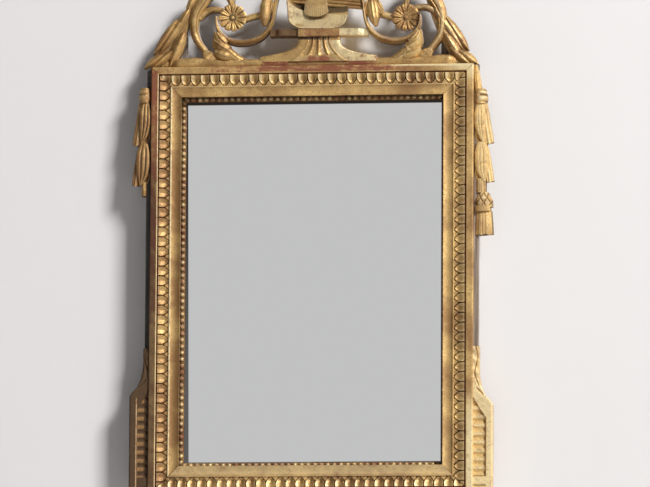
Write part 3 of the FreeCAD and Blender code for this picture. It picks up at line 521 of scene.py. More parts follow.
def smooth_line(points, n):
    """n places and normals along a natural cubic through the points, spaced by chord length."""
    p = np.asarray(points, float)
    t = np.r_[0, np.cumsum(np.linalg.norm(np.diff(p, axis=0), axis=1))]
    h, k = np.diff(t), len(p)
    lhs, rhs = np.eye(k), np.zeros_like(p)
    i = np.arange(1, k - 1)
    lhs[i, i - 1], lhs[i, i], lhs[i, i + 1] = h[:-1], 2 * (h[:-1] + h[1:]), h[1:]
    slope = np.diff(p, axis=0) / h[:, None]
    rhs[1:-1] = 6 * np.diff(slope, axis=0)
    bend = np.linalg.solve(lhs, rhs)
    s = np.linspace(0, t[-1], n)
    j = np.clip(np.searchsorted(t, s, side="right") - 1, 0, k - 2)
    r, q, w = (s - t[j])[:, None], (t[j + 1] - s)[:, None], h[j][:, None]
    line = (bend[j] * q**3 + bend[j + 1] * r**3) / (6 * w)
    line += (p[j] / w - bend[j] * w / 6) * q + (p[j + 1] / w - bend[j + 1] * w / 6) * r
    way = np.gradient(line, axis=0)
    way /= np.linalg.norm(way, axis=1, keepdims=True)
    return line, np.stack([-way[:, 1], way[:, 0]], 1)


def along_list(values, a):
    """Values spaced evenly along a line and filled in between."""
    values = np.atleast_1d(np.asarray(values, float))
    return np.interp(a, np.linspace(0, 1, len(values)), values)


def backed(face, behind):
    """A face's columns and two more behind them, which make each row a loop."""
    return np.concatenate([face, np.broadcast_to(behind, (len(face), 2))], 1)


def carried_back(x, depth, z, back):
    """Points of a face grid whose two edges are carried straight back."""
    ends = [-1, 0]
    return spots(backed(x, x[:, ends]), backed(depth, back), backed(z, z[:, ends]))


def strip(points, widths, back, front, relief=None, n=48, m=15, wall=0.45, arch=2.2, rub=0.1):
    """A carved strip: place = line + normal * b * half width, and
    depth = back + rise * (wall + (1 - wall) * (1 - |b|^arch)^(1/arch)) + relief(a, b) + hand work.
    A pair of width lists serves the two sides of the line."""
    line, normal = smooth_line(points, n)
    a = np.linspace(0, 1, n)[:, None]
    b = np.sin(np.linspace(-1, 1, m) * math.pi / 2)[None, :]
    one, two = widths if isinstance(widths, tuple) else (widths, widths)
    half = np.where(b < 0, along_list(one, a), along_list(two, a)) / 2
    crown, under = along_list(front, a), along_list(back, a)
    dome = np.clip(1 - np.abs(b) ** arch, 0, 1) ** (1 / arch)
    cut = (relief(a, b) if relief else 0) + 0 * a * b
    x, z = (line[:, [axis]] + normal[:, [axis]] * b * half for axis in (0, 1))
    depth = under + (crown - under) * (wall + (1 - wall) * dome) + cut + 0.35 * hand(5 * x, 5 * z) * dome
    carve = np.clip(0.95 * dome - 0.4 + 0.75 * cut, -1, 1)
    return {"points": carried_back(x, depth, z, under), "carve": backed(carve, -0.9), "rub": rub}


def groove(b, place, width):
    """A rounded groove of unit depth about one place."""
    return -swell(b, place, width)


def blade(x, z, angle, length, width, back, front, bend=0.0, relief=None,
          shape=(0.35, 0.85, 1.0, 0.8, 0.1), **more):
    """A leaf as a strip: it leaves its root at an angle and bends aside as the square of the way along."""
    c, s = math.cos(math.radians(angle)), math.sin(math.radians(angle))
    f = np.linspace(0, 1, 5)
    side = bend * length * f * f
    points = np.stack([x + length * f * c - side * s, z + length * f * s + side * c], 1)
    return strip(points, np.array(shape) * width, back, front, relief or veined, n=30, **more)


def veined(a, b):
    """A raised rib between two grooves that run out towards the tip."""
    fade = ease((1 - a) / 0.25) * ease(a / 0.08)
    return fade * 1.4 * groove(np.abs(b), 0.3, 0.16)


def crest_side(grids, side):
    """Grids worked out as outward and up from the crest's foot, put on one side of its axis;
    the left half was cut a little wider and is darkened with painted shade."""
    for g in grids:
        p = np.array(g["points"], float)
        p[..., 0] = crest_off + side * p[..., 0] * (left_spread if side < 0 else 1)
        p[..., 2] += frame_h
        # Painted shade on the left half
        yield {**g, "points": p, "carve": g.get("carve", 0.0) - 0.22 * (side < 0)}


def crest_piece(name, grids, side, node, material=gilt_carving):
    """A piece of the crest, put on one side of its axis in the place of one solid."""
    return piece(name, list(crest_side(grids, side)), material, [node])


print("strip of", strip([(0, 0), (10, 5), (20, 0)], [5, 5], 0, 4)["points"].shape)

# %% Scrolls: stem, volute and links
HANDS = {"left": -1, "right": 1}
rail_h, scroll_x, scroll_z, scroll_r = 12.5, 108.0, 80.0, 41.0
rosette_x, rosette_z, rosette_r, rosette_t, link_t = 130.0, 73.0, 21.0, 12.0, 8.0
arch_z = scroll_z + scroll_r
knot_z, knot_half = 164.0, 9.0
stem_line = [(161, 13), (167, 24), (180.8, 44.5), (184.5, 66), (182, 84), (172, 103), (152, arch_z),
             (135, 115), (131, 104), (130, 93)]
stem_w, stem_rise = [9, 10, 11.5, 13.5, 16, 19, 20, 19, 17, 5], [26, 27, 27, 27, 27, 28, 28, 24]
volute_line = [(151.5, 79), (151, 66), (147, 54.5), (139.5, 45.8), (130, 40.5), (119, 38.2), (107, 38.5),
               (93, 42.3), (80.5, 51), (72.8, 62), (68.5, 76), (66.5, 90), (62, 110), (53, 132), (35, 152),
               (knot_half - 2, knot_z)]
volute_w = [1.5, 6.5, 9, 10, 9.5, 8, 6.5, 6, 6.5, 8, 9, 8, 7]
volute_rise = [31, 32, 31, 29, 28, 27, 27, 27, 27]


def stem_relief(a, b):
    """A groove parts a thin inner strand from the stem once it has left the rail,
    and a shallow one follows the outer edge."""
    return ease((a - 0.15) / 0.2) * 1.5 * groove(b, 0.45, 0.1) + 0.8 * groove(b, -0.6, 0.12)


def volute_relief(a, b):
    """A fine groove beside the volute's outer edge."""
    return ease(a / 0.15) * 0.8 * groove(b, 0.5, 0.13)


link_front = crest_back + link_t
scroll = [
    strip(stem_line, stem_w, crest_back, stem_rise, stem_relief, n=120, m=25, arch=2.4),
    strip(volute_line, volute_w, crest_back, volute_rise, volute_relief, n=150, m=21, arch=1.6),
    strip([(178, 76), (166, 87), (148, 89), (132, 80)], [11, 9.5, 9.5], crest_back, link_front + 5, n=36),
    strip([(71, 86), (92, 80), (124, 71)], [9, 10, 9], crest_back, link_front + 3, n=30),
    strip([(122, 6.5), (128, 19), (131, 32)], [22, 12, 3], crest_back, [27, 26, 21], n=24),
    strip([(129, 64), (131, 82)], [18, 18], crest_back, link_front, n=12),
]
for hand_of, side in HANDS.items():
    crest_piece("carved_scroll_" + hand_of, scroll, side, "crest_scroll_" + hand_of)

# %% [markdown]
# Each rosette is a dished flower of eleven notched petals round a small button.
# In polar form the whole flower is one grid: the rim draws in between petals, each petal has a crease
# down its middle, and the rows run from the seat behind, over the rim, to the middle in front.

# %% Rosettes
petals, left_higher = 11, 3.0


def flower(cx, cz, seat, radius, thick):
    """Rows of (share of radius, share of thickness), columns of angle;
    the rim shrinks by the eighth power of the gap wave."""
    angle = np.linspace(0, 2 * math.pi, petals * 16, endpoint=False)[None, :]
    gap = (0.5 - 0.5 * np.cos(petals * angle)) ** 8
    crease = swell((petals * angle / (2 * math.pi) + 0.5) % 1, 0.5, 0.07)
    share = np.array([0.2, 0.82, 0.97, 1.0, 0.985, 0.93, 0.84, 0.74, 0.63, 0.52,
                      0.42, 0.33, 0.25, 0.19, 0.14, 0.12, 0.1, 0.06, 0.02])[:, None]
    rise = np.array([0.0, 0.0, 0.2, 0.42, 0.53, 0.6, 0.62, 0.61, 0.57, 0.52,
                     0.47, 0.43, 0.41, 0.40, 0.42, 0.5, 0.57, 0.6, 0.61])[:, None]
    row = np.arange(len(share))[:, None]
    behind, petal, ring = row < 3, (row > 2) & (row < 13), (row > 11) & (row < 15)
    valley = 2.2 * gap * ease((share - 0.2) / 0.25)
    fold = 0.55 * crease * ease((share - 0.3) / 0.2) * ease((1.0 - share) / 0.15)
    cut = np.where(petal, -valley - fold, 0)
    notched = radius * share * (1 - 0.14 * gap * ease((share - 0.5) / 0.4))
    x, z = cx + notched * np.cos(angle), cz + notched * np.sin(angle)
    carve = np.where(behind, -0.8, 0.25 + 0.35 * cut) - 0.7 * ring
    return {"points": spots(x, seat + thick * rise + cut, z), "carve": carve, "rub": 0.3}


for hand_of, side in HANDS.items():
    higher = left_higher * (side < 0)
    rosette = flower(rosette_x - 0.7 * higher, rosette_z + higher, link_front, rosette_r, rosette_t)
    crest_piece("carved_rosette_" + hand_of, [rosette], side, "rosette_" + hand_of)

# %% [markdown]
# Garlands of long leaves run down from the stems to the corners, and acanthus leaves curl at the scroll
# feet. Each leaf is a strip whose width swells and runs out to a point. The long leaves are flat-sided,
# with a cut beside the ridge. An acanthus is a broad body with three short lobes laid over it, and
# a ribbed fan where the stem leaves the rail. The bud on the right volute has three veined leaves,
# the one on the left is nearly plain.

# %% Garlands
garland_front, garland_fall, garland_shift, garland_back = 30.0, 0.05, -3.5, 16.0
# Inset and height of the root, lean, length and width
garland_leaves = [(27, 22, -37, 37, 14), (40, 26, -41, 42, 14), (47, 74, -56, 63, 13),
                  (59, 80, -56, 68, 16), (66, 92, -60, 44, 14), (76, 116, -64, 36, 12)]
inner_leaf = {-1: (58, 54, -67, 57, 20), 1: (51, 54, -58, 58, 17)}


def ridged(a, b):
    """A flat-sided leaf: one cut beside the ridge and a shallow one along the edge."""
    fade = ease(a / 0.1) * ease((1 - a) / 0.15)
    return fade * (1.1 * groove(b, 0.12, 0.09) + 0.5 * groove(np.abs(b), 0.62, 0.1))


def garland(side):
    """Overlapping leaves on a core band that leans along the stem, measured inwards from the wing's edge."""
    core = [(half_wing - x, z) for x, z in ((17, 2), (31, 25), (50, 55), (64, 82), (74, 104))]
    grids = [strip(core, [26, 26, 22, 15, 8], crest_back, 20, n=30, wall=0.9)]
    for inset, z, lean, length, width in garland_leaves + [inner_leaf[side]]:
        front = garland_front - garland_fall * z + np.array([-2, 1, 1.5, 0, -3])
        grids.append(blade(half_wing - inset, z, lean, length, width, garland_back, front, relief=ridged,
                           arch=1.3, shape=(0.45, 0.9, 1.0, 0.8, 0.12)))
    for g in grids:
        p = g["points"]
        p[..., 2] = np.maximum(p[..., 2], 0.0)
        g["points"] = p * [side, 1, 1] + [garland_shift, 0, frame_h]
        # Painted light: the right garland is brightened and the left one darkened
        g["carve"] = g["carve"] + 0.15 * side
    return grids


for hand_of, side in HANDS.items():
    piece("carved_garland_" + hand_of, garland(side), gilt_carving, ["garland_" + hand_of])

# %% Acanthus leaves
leaf_back, leaf_front, leaf_foot = 20.0, 33.0, 5.0


def fanned(a, b):
    """Fine ribs that spread with the leaf."""
    return (0.3 * np.cos(2 * math.pi * 3.5 * b) - 0.35) * ease(a / 0.25) * ease((1 - a) / 0.2)


def parted(a, b):
    """Two long cuts that part the body of the leaf."""
    return 1.2 * (groove(b, 0.1, 0.08) + groove(b, -0.45, 0.08)) * ease((1 - a) / 0.2) * ease(a / 0.3)


def lobe(x, z, lean, length, width, rise):
    """A short leaf that stands proud of the body, brightened by wear."""
    front = leaf_front + np.array([rise - 2, rise, rise, -1])
    made = blade(x, z, lean, length, width, leaf_back, front, 0.2, shape=(0.8, 1.0, 1.0, 0.9, 0.45), arch=1.6)
    return {**made, "carve": made["carve"] + 0.3}


body_line = [(100, 7), (119, 12), (134, 25), (146, 40), (153, 54)]
body_w = ([8, 14, 28, 36, 24, 3], [6, 14, 16, 13, 9, 2])
body_front = leaf_front + np.array([-7, -3, -1, 0, -1])
acanthus = [
    strip(body_line, body_w, leaf_back, body_front, parted, n=60, m=31, wall=0.3, arch=1.8),
    lobe(136, 36, 40, 21, 15, 1),
    lobe(132, 26, 24, 24, 17, 2),
    lobe(129, 15, 10, 25, 17, 2),
    blade(169, 24, 222, 25, 17, leaf_back, [27, 29, 29, 27], 0.1, fanned,
          shape=(0.55, 0.9, 1.2, 1.3, 1.0), m=41, arch=3.0),
]
for g in acanthus:
    g["points"][..., 2] = np.maximum(g["points"][..., 2], leaf_foot)
for hand_of, side in HANDS.items():
    crest_piece("carved_acanthus_" + hand_of, acanthus, side, "acanthus_" + hand_of)

# %% Husks on the inner ends of the volutes
bud_x, bud_top, bud_l, bud_r, bud_back = 80.0, 104.0, 44.0, 9.5, 18.0


def smooth(a, b):
    """No cut at all."""
    return 0 * a * b


HUSKS = {
    "right": [
        blade(bud_x - 2, bud_top, 276, bud_l, 2 * bud_r, bud_back, [26, 29, 31, 31, 26], 0.06,
              shape=(0.5, 0.9, 1.0, 0.85, 0.25)),
        blade(bud_x + 3, bud_top, 290, 0.7 * bud_l, 1.3 * bud_r, bud_back, [24, 27, 29, 24], 0.10),
        blade(bud_x - 5, bud_top, 262, 0.75 * bud_l, 1.2 * bud_r, bud_back, [24, 27, 27, 23], -0.06)],
    "left": [
        blade(bud_x - 1, bud_top, 272, bud_l - 3, 1.8 * bud_r, bud_back, [27, 30, 31, 31, 25], 0.0, smooth,
              shape=(0.6, 0.95, 1.0, 0.9, 0.4), arch=2.0, rub=0.35),
        blade(bud_x - 8, bud_top, 264, 0.6 * bud_l, bud_r, bud_back, [24, 28, 28, 24], -0.06)],
}
for hand_of, side in HANDS.items():
    crest_piece("carved_husk_" + hand_of, HUSKS[hand_of], side, "bud_" + hand_of)

# %% [markdown]
# Rail, shelf and pedestal are joiner's work: straight sections with softened edges, and a bell with
# flutes. The pedestal is two bells, plain flanks that run out over the rail and a fluted middle in front
# of them. In both the half width follows a hollow curve, and the flutes are waves across the face.

# %% Crest rail, shelf and pedestal
rail_half, rail_back, rail_front = half_wing - 17.0, 4.0, 30.0
shelf_low, shelf_h, shelf_half, shelf_front, shelf_bevel = 44.5, 12.0, 74.0, 29.0, 1.2
block_half, block_front, foot_z = 31.0, 32.5, 7.0


def bar(x0, x1, outline, steps=60):
    """A section of (depth, up) points carried along X, with hand-made waviness."""
    x = np.linspace(x0, x1, steps)[:, None]
    d, z = np.array(outline, float).T[:, None, :]
    return spots(x, d + 0.3 * hand(4 * x, 6 * z), z + 0 * x)


# How far each point of the rail's rounded face lies behind its front, and how high
rail_face = [(1, 0), (0.6, 1.6), (0, 2.4), (0, 7.5), (0.5, 9.6), (1.4, 11.0), (2.8, 12.0), (5.0, rail_h)]
rail_outline = [(rail_back, 0), *((rail_front - off, up) for off, up in rail_face), (rail_back, rail_h)]
rail_marks = [-0.6, -0.6, -0.3, 0.35, 0.2, 0.1, 0.1, 0, -0.2, -0.8]
rail = bar(-rail_half + 4, rail_half - 2, rail_outline, 160)
x, depth, z = np.moveaxis(rail, -1, 0)
from_middle = np.abs(x - crest_off)
depth -= 7 * ease((np.abs(x) - 203) / 14) * (depth > 20)
z *= 1 + 0.26 * swell(from_middle, 188, 22)
z += frame_h
rubbed = 0.05 + 0.9 * swell(from_middle, 64, 26, 4) + 0.25 * hand(3 * from_middle, from_middle)
rail_grid = {"points": rail, "carve": rail_marks, "rub": rubbed}
piece("carved_crest_rail", [rail_grid], gilt_carving, ["crest_rail"])


def shelf_outline(front, low, high):
    """A bar's section with a small bevel on its front edges."""
    return [(crest_back, low), (front - shelf_bevel, low), (front, low + shelf_bevel),
            (front, high - shelf_bevel), (front - shelf_bevel, high), (crest_back, high)]


shelf_top = shelf_low + shelf_h
board = bar(-shelf_half, shelf_half, shelf_outline(shelf_front, shelf_low + 1.2, shelf_top + 0.4))
block = bar(-block_half, block_half, shelf_outline(block_front, shelf_low, shelf_top))
x, depth, _ = np.moveaxis(board, -1, 0)
depth -= 5 * ease((np.abs(x) - 60) / 6) * (depth > 20)
# The bar right of the block takes a painted highlight and the rest of the bar painted shade
lit = x > block_half
shelf = [{"points": board, "carve": np.where(lit, 1.2, -0.6), "rub": np.where(lit, 0.0, 0.5)},
         {"points": block, "rub": 0.55}]
crest_piece("carved_shelf", shelf, 1, "trophy_shelf")


def bell(half_top, half_low, low_z, power, back, front, flutes, cut, rub):
    """Rows from rail to shelf. Half width = top + (low - top) * fall^power, where fall goes from 1 at low_z
    to 0 at the shelf. Flutes are a rounded wave across b, and the face draws back under the shelf."""
    t = np.linspace(0, 1, 40)[:, None]
    b = np.linspace(-1, 1, 20 * max(flutes, 1) + 1)[None, :]
    z = foot_z + t * (shelf_low - foot_z) + 0 * b
    fall = np.clip((shelf_low - z) / (shelf_low - low_z), 0, 1)
    half = half_top + (half_low - half_top) * fall**power
    fade = ease((t - 0.2) / 0.1) * (np.abs(b) < 0.97)
    wave = np.abs(np.sin(math.pi * flutes * (b + 1) / 2)) ** 0.7 * fade
    under = ease((t - 0.82) / 0.12)
    face = front - cut * wave - 1.2 * ease((np.abs(b) - 0.93) / 0.07) - 2.5 * under
    face = face + 0.25 * hand(6 * b * half, 200 * t)
    # Painted light on the right flank and painted shade on the left one, and painted shadow where the face
    # draws back under the shelf
    carve = 0.45 + 0.35 * np.sign(b) * (flutes == 0) - 0.95 * wave - 1.1 * under
    clay = 0.9 * ease((0.32 - t) / 0.2) * (flutes > 0) * swell(b, 0, 0.55, 4)
    return {"points": carried_back(b * half, face, z, back),
            "carve": backed(carve, -0.5), "rub": backed(rub + clay, 0)}


flanks = bell(block_half, 88, 15.0, 3.7, crest_back, rail_front + 1, flutes=0, cut=0.0, rub=0.15)
fluted = bell(16, 45, foot_z, 2.4, shelf_front - 3, rail_front + 3, flutes=4, cut=2.2, rub=0.05)
crest_piece("carved_pedestal", [flanks, fluted], 1, "trophy_pedestal")

# %% [markdown]
# A straw hat leans on the pedestal, tipped towards the viewer, with a bundle of rods behind it
# and a ribbon bow on top. The brim is a polar grid: it dishes forward from the crown to the rim, rolls
# over at the edge, leans back on its far side and turns up on the left. The crown is a short drum with
# upright reeds, its axis tilted back from the face, so its side is what one sees.

# %% Straw plait as a node group
plait, p_in, p_out = group("straw_plait", [("Place", VECTOR, (0, 0, 0)), ("Fineness", FLOAT, 1.0)],
                           [("Shade", FLOAT), ("Height", FLOAT)])
fine = wire(plait, "ShaderNodeVectorMath", {0: p_in["Place"], "Scale": p_in["Fineness"]}, operation="SCALE")
strand = {"Vector": fine.outputs[0], "Scale": 1.0, "Distortion": 1.2, "Detail": 1.0}
weft, warp = (wire(plait, "ShaderNodeTexWave", strand, bands_direction=way).outputs["Fac"] for way in "XY")
over = maths(plait, "MULTIPLY", weft, warp)
plait.links.new(over, p_out["Height"])
plait.links.new(ramp(plait, over, 0.02, 0.4), p_out["Shade"])


def straw(name, fineness):
    """Worn gilding pressed with a plaited straw pattern along the piece's own UV."""
    mat = gilt(name, clay=0.0, grime=0.8, tone=0.1, leaf=0.4)
    tree, shader = mat.node_tree, mat.node_tree.nodes["Principled BSDF"]
    weave = wire(tree, "ShaderNodeGroup", {"Place": own_map(tree), "Fineness": fineness}, node_tree=plait)
    leaf = shader.inputs["Base Color"].links[0].from_socket
    hollow = maths(tree, "SUBTRACT", 1.0, weave.outputs["Shade"])
    dusty = tint(tree, maths(tree, "MULTIPLY", hollow, 0.16), leaf, grime_and_shade_brown)
    tree.links.new(dusty, shader.inputs["Base Color"])
    pressed(tree, shader, weave.outputs["Height"], 0.0008, 0.6)
    return mat


straw_brim, straw_crown = straw("gilt_straw_brim", 520.0), straw("gilt_straw_crown", 420.0)
print("plait nodes", len(plait.nodes))

# %% Hat
hat_x, hat_z, hat_a, hat_low, hat_high, hat_lift, hat_back = -3.0, 80.0, 46.0, 24.5, 24.0, 13.0, 23.2
crown_r, crown_h, crown_tilt, crown_reeds = 17.0, 22.0, math.radians(52), 36


def full(wave):
    """A sine or cosine to the power 0.62 with its sign kept, which fills an oval out."""
    return np.sign(wave) * np.abs(wave) ** 0.62


def hat_brim():
    """Rows run from the crown's foot over the face to the rolled rim and back behind.
    The rim is a full oval, a little wavy, and its far side leans back. The left end lifts as the fifth power
    of its turn to the left times the cube of its share of the way out."""
    angle = np.linspace(0, 2 * math.pi, 120, endpoint=False)[None, :]
    c, s = np.cos(angle), np.sin(angle)
    share = np.array([0.3, 0.4, 0.5, 0.6, 0.7, 0.8, 0.88, 0.93, 0.965, 0.99, 1.0,
                      0.985, 0.96, 0.9, 0.7, 0.5, 0.3])[:, None]
    face = np.array([1] * 9 + [0.85, 0.45, 0.12] + [0] * 5)[:, None]
    left = np.clip(-c, 0, 1) ** 2
    wavy = 1 + 0.02 * np.sin(5 * angle + 1) + 0.012 * np.sin(9 * angle)
    tall = np.where(s < 0, hat_low, hat_high)
    x = hat_x + hat_a * share * wavy * full(c)
    z = hat_z + tall * share * wavy * full(s) + hat_lift * left**2.5 * share**3
    roll = 1.4 * swell(share, 0.955, 0.03) * face
    dish = 4.0 * share**1.6 * (1 - 0.4 * s) + 5.0 * left * share**4 - 13.0 * ease(s / 0.6) * share
    depth = hat_back + 0.6 + dish + 2.6 * face + roll
    # Painted shade on the brim's far side, in a ring by the crown's foot and on the belly low on the left,
    # and a painted highlight on the turned-up left rim
    far = ease((s - np.where(c < 0, 0.12, -0.06)) / 0.12)
    belly = swell(angle, 3.9, 0.35) * ease((share - 0.7) / 0.15)
    turned_up = ease((left - 0.25) / 0.4) * (0.3 + 0.7 * ease((share - 0.65) / 0.2))
    shade = 0.5 * (share < 0.36) + 0.8 * belly + 2.2 * far
    carve = np.where(face > 0.5, 0.75 + 0.3 * (roll > 0.5) + 1.1 * turned_up - shade, -0.9)
    return {"points": spots(x, depth, z), "carve": carve, "rub": 0.1,
            "uv": np.broadcast_arrays(angle * 0.03, share * 0.045)}


def hat_crown():
    """A drum about an axis tilted up from the viewer: reeds are a wave of its radius,
    and the top is rounded off."""
    angle = np.linspace(0, 2 * math.pi, 4 * crown_reeds, endpoint=False)[None, :]
    up = np.array([0, 0.08, 0.2, 0.35, 0.5, 0.65, 0.8, 0.92, 0.98, 1.0, 1.0])[:, None]
    wide = np.array([1.1, 1.06, 1.02, 1.0, 0.99, 0.985, 0.98, 0.95, 0.85, 0.6, 0.1])[:, None]
    reeds = np.cos(crown_reeds * angle) * (up < 0.95)
    r = crown_r * wide * (1 + 0.03 * reeds)
    across, near, high = hat_x - 1.5 + r * np.cos(angle), r * np.sin(angle), crown_h * up
    z = hat_z + 2.5 - near * math.cos(crown_tilt) * 0.75 + high * math.sin(crown_tilt) * 0.9
    depth = hat_back + 6.0 + near * math.sin(crown_tilt) * 0.25 + high * math.cos(crown_tilt) * 0.1
    # Painted shadow at the crown's foot and on its top, which lies under the rods
    carve = 0.35 + 0.5 * reeds - 1.4 * (up < 0.05) - 0.7 * (up > 0.95)
    return {"points": spots(across, depth, z), "carve": carve, "rub": 0.1,
            "uv": np.broadcast_arrays(angle * 0.0165, up * 0.042)}


crest_piece("carved_hat_brim", [hat_brim()], 1, "hat_brim", straw_brim)
crest_piece("carved_hat_crown", [hat_crown()], 1, "hat_crown", straw_crown)

# %% Rods and bow
rod_r, rod_pitch, rod_depth, rod_raise = 2.6, 5.2, 21.0, 20.5
rod_left, rod_right, rod_tilt = 46.0, scroll_x - scroll_r, math.radians(6.0)


def rod(k):
    """A round rod with a knot here and there: its radius swells a little at two places.
    It ends sooner on the left, behind the brim."""
    s = np.linspace(-rod_left, rod_right, 60)[:, None]
    angle = np.linspace(0, 2 * math.pi, 14, endpoint=False)[None, :]
    r = rod_r * (1 + 0.12 * (swell(s, 38 + 4 * k, 2.5) + swell(s, -30 - 5 * k, 2.5)))
    off = rod_pitch * k + r * np.cos(angle)
    x = s * math.cos(rod_tilt) + off * math.sin(rod_tilt)
    z = hat_z + rod_raise - s * math.sin(rod_tilt) + off * math.cos(rod_tilt)
    points = spots(x, rod_depth + r * np.sin(angle), z)
    return {"points": points, "carve": 0.5 * np.sin(angle) - 0.2, "rub": 0.15}


crest_piece("carved_rods", [rod(k) for k in (-1, 0, 1)], 1, "trophy_rods")

bow_lean, bow_reach, bow_w, crest_h = 64.0, 54.0, 26.0, 208.0


def folded(a, b):
    """Soft folds of a ribbon that gather at the knot."""
    return 1.1 * np.cos(2 * math.pi * 1.5 * b) * ease((1 - a) / 0.5) - 0.6 * ease((a - 0.8) / 0.2)


def ribbon_loop():
    """One loop of the bow: a strip that leaves the knot, rounds the far end and comes back."""
    c, s = math.cos(math.radians(90 - bow_lean)), math.sin(math.radians(90 - bow_lean))
    going = np.array([(0.35, 0.3), (0.8, 0.36)]) * (bow_reach, bow_w)
    coming = going[::-1] * (1, -1)
    out, up = np.array([(2, 4), *going, (0.96 * bow_reach, 0), *coming, (2, -4)]).T
    line = np.stack([out * c - up * s, knot_z + out * s + up * c], 1)
    return strip(line, [6, 8, 9, 8.5, 9, 8, 6], crest_back, [25, 26, 27, 24, 26, 26, 25], folded, n=70)


tuft = [blade(0, knot_z, lean, (crest_h - knot_z) * share, 15, crest_back + 2, stem_front - 1)
        for lean, share in ((66, 0.8), (114, 0.8), (90, 1.0))]
knot_ends = [(0, knot_z - 7.5), (0, knot_z + 7.5)]
knot = strip(knot_ends, [15, 18, 15], crest_back, stem_front + 1, folded, n=24)
loops = [g for side in HANDS.values() for g in crest_side([ribbon_loop()], side)]
piece("carved_bow", loops + list(crest_side(tuft + [knot], 1)), gilt_carving, ["ribbon_bow"])

# %% [markdown]
# At the sides hang drops, each a knot over two lengths of leaf and ribbon, with a tassel on the right
# one, and console brackets stand below. Leaves and ribbons are strips again, seated against the edge of
# the carcass. The tassel has a cap cut with crossed lines, a collar and a skirt of reeds, so its relief
# is a lattice in one part and a wave across in the other.

# %% Side drops
side_reach, drop_back, drop_front, drop_x = 29.0, 15.0, 34.0, 10.5
tassel_top, tassel_l, hem_l, hem_wave = 194.0, 63.0, 8.0, 1.2
side_seat = carcass_t + 0.05
UPPER = {"leaf_x": [9, 9, 10, 12.5, 15], "leaf_w": [11, 17, 17.5, 13, 3],
         "ribbon_x": [14, 16.5, 18.5, 21, 22.5], "ribbon_w": [12, 13.5, 14.5, 15, 14]}
LOWER = {"leaf_x": [11, 12, 12.5, 14, 16.5], "leaf_w": [12, 21, 22, 17, 3],
         "ribbon_x": [15, 18, 20.5, 22.5, 24], "ribbon_w": [9, 12, 13, 13, 12]}


def hung(grids, side):
    """Grids worked out as outward from the moulding and down from the frame's top, put on one side;
    the left side is darkened with painted shade."""
    for g in grids:
        p = np.array(g["points"], float)
        p[..., 0] = side * (half_w + p[..., 0])
        p[..., 2] = frame_h - p[..., 2]
        # Painted shade on the left side
        yield {**g, "points": p, "carve": g["carve"] - 0.35 * (side < 0)}


def wrapped(a, b):
    """Two turns of cord round the knot: bulges parted by grooves on the side that faces the frame,
    plain on the other."""
    cuts = 2.2 * groove(a, 0.42, 0.07) + 1.2 * groove(a, 0.1, 0.06) + 1.2 * groove(a, 0.88, 0.06)
    bulges = 0.8 * swell(a, 0.26, 0.08) + 0.8 * swell(a, 0.62, 0.1)
    return (cuts + bulges) * ease((0.45 - b) / 0.5)


def fluttering(a, b):
    """Long shallow folds that open towards the hem."""
    return ease(a / 0.35) * 0.55 * np.cos(2 * math.pi * (1.4 * b + 0.1))


def cracked(a, b):
    """A nearly smooth leaf with shallow creases along it and a crack across."""
    creases = 0.6 * groove(b, -0.2, 0.08) + 0.45 * groove(b, 0.3, 0.06)
    return creases * ease(a / 0.2) * ease((1 - a) / 0.3) + 0.5 * groove(a, 0.55, 0.02)


def hemmed(grid, end):
    """Let the lower end of a hanging strip run in waves: z moves by a sine along x, only near the hem."""
    p = grid["points"]
    p[..., 2] += hem_wave * np.sin(0.55 * p[..., 0] + 1) * ease((p[..., 2] - end + hem_l) / hem_l)
    return grid


def pleated(a, b):
    """A leaf gathered into three pleats."""
    return 1.5 * (groove(b, -0.3, 0.12) + groove(b, 0.35, 0.12)) * ease(a / 0.15) * ease((1 - a) / 0.15)


def reeded(a, b):
    """Soft uneven reeds."""
    return 1.1 * (np.abs(np.cos(math.pi * (2.5 * b + 0.15 * np.sin(9 * b)))) ** 0.6 - 0.9)


def leaf_and_ribbon(start, stop, relief, leaf_x, leaf_w, ribbon_x, ribbon_w):
    """A ribbon that flares outwards to a wavy hem, and an oval leaf in front of it,
    over a small leaf that covers the edge of the carcass."""
    z = start + np.array([0, 0.33, 0.6, 0.83, 1.0]) * (stop - start)
    ribbon = strip(np.stack([ribbon_x, z], 1), ribbon_w, drop_back, drop_front - 4, fluttering,
                   n=40, m=25, wall=0.6)
    leaf = strip(np.stack([leaf_x, z], 1), leaf_w, side_seat, drop_front + np.array([-2, 1, 1, -2]), relief,
                 n=50, m=33, arch=2.6)
    small = blade(6.5, z[2], 84, stop - z[2], 12, side_seat, drop_front - 5)
    return [hemmed(ribbon, stop), leaf, small]


def drop(top_stem, knot_top, first, second, relief, crisp, stub_w):
    """A knot, two lengths of leaf and ribbon, and a reeded stub, with a stem above the knot or without."""
    low = tassel_top - 16
    knot = strip([(drop_x, knot_top), (drop_x, knot_top + 22)], [15, 19, 20, 16], drop_back, drop_front + 1,
                 lambda a, b: crisp * wrapped(a, b), n=40)
    stub = strip([(drop_x, low - 5), (drop_x, tassel_top)], [stub_w, stub_w], drop_back, drop_front - 2,
                 reeded, n=16, m=33)
    stem = strip([(3, 2), (4.5, 20), (7, knot_top + 3)], [7, 10, 12], drop_back, drop_front - 1, veined, n=24)
    upper = leaf_and_ribbon(first, second + 2, relief, **UPPER)
    lower = leaf_and_ribbon(second, low, relief, **LOWER)
    return [knot, stub] + upper + lower + [stem] * top_stem


right_drop = drop(top_stem=True, knot_top=38, first=60, second=118, relief=cracked, crisp=1.0, stub_w=16)
left_drop = drop(top_stem=False, knot_top=31, first=52, second=115, relief=pleated, crisp=0.5, stub_w=9)
piece("carved_drop_right", list(hung(right_drop, 1)), gilt_matt, ["side_drop_right"])
piece("carved_drop_left", list(hung(left_drop, -1)), gilt_shaded, ["side_drop_left"])

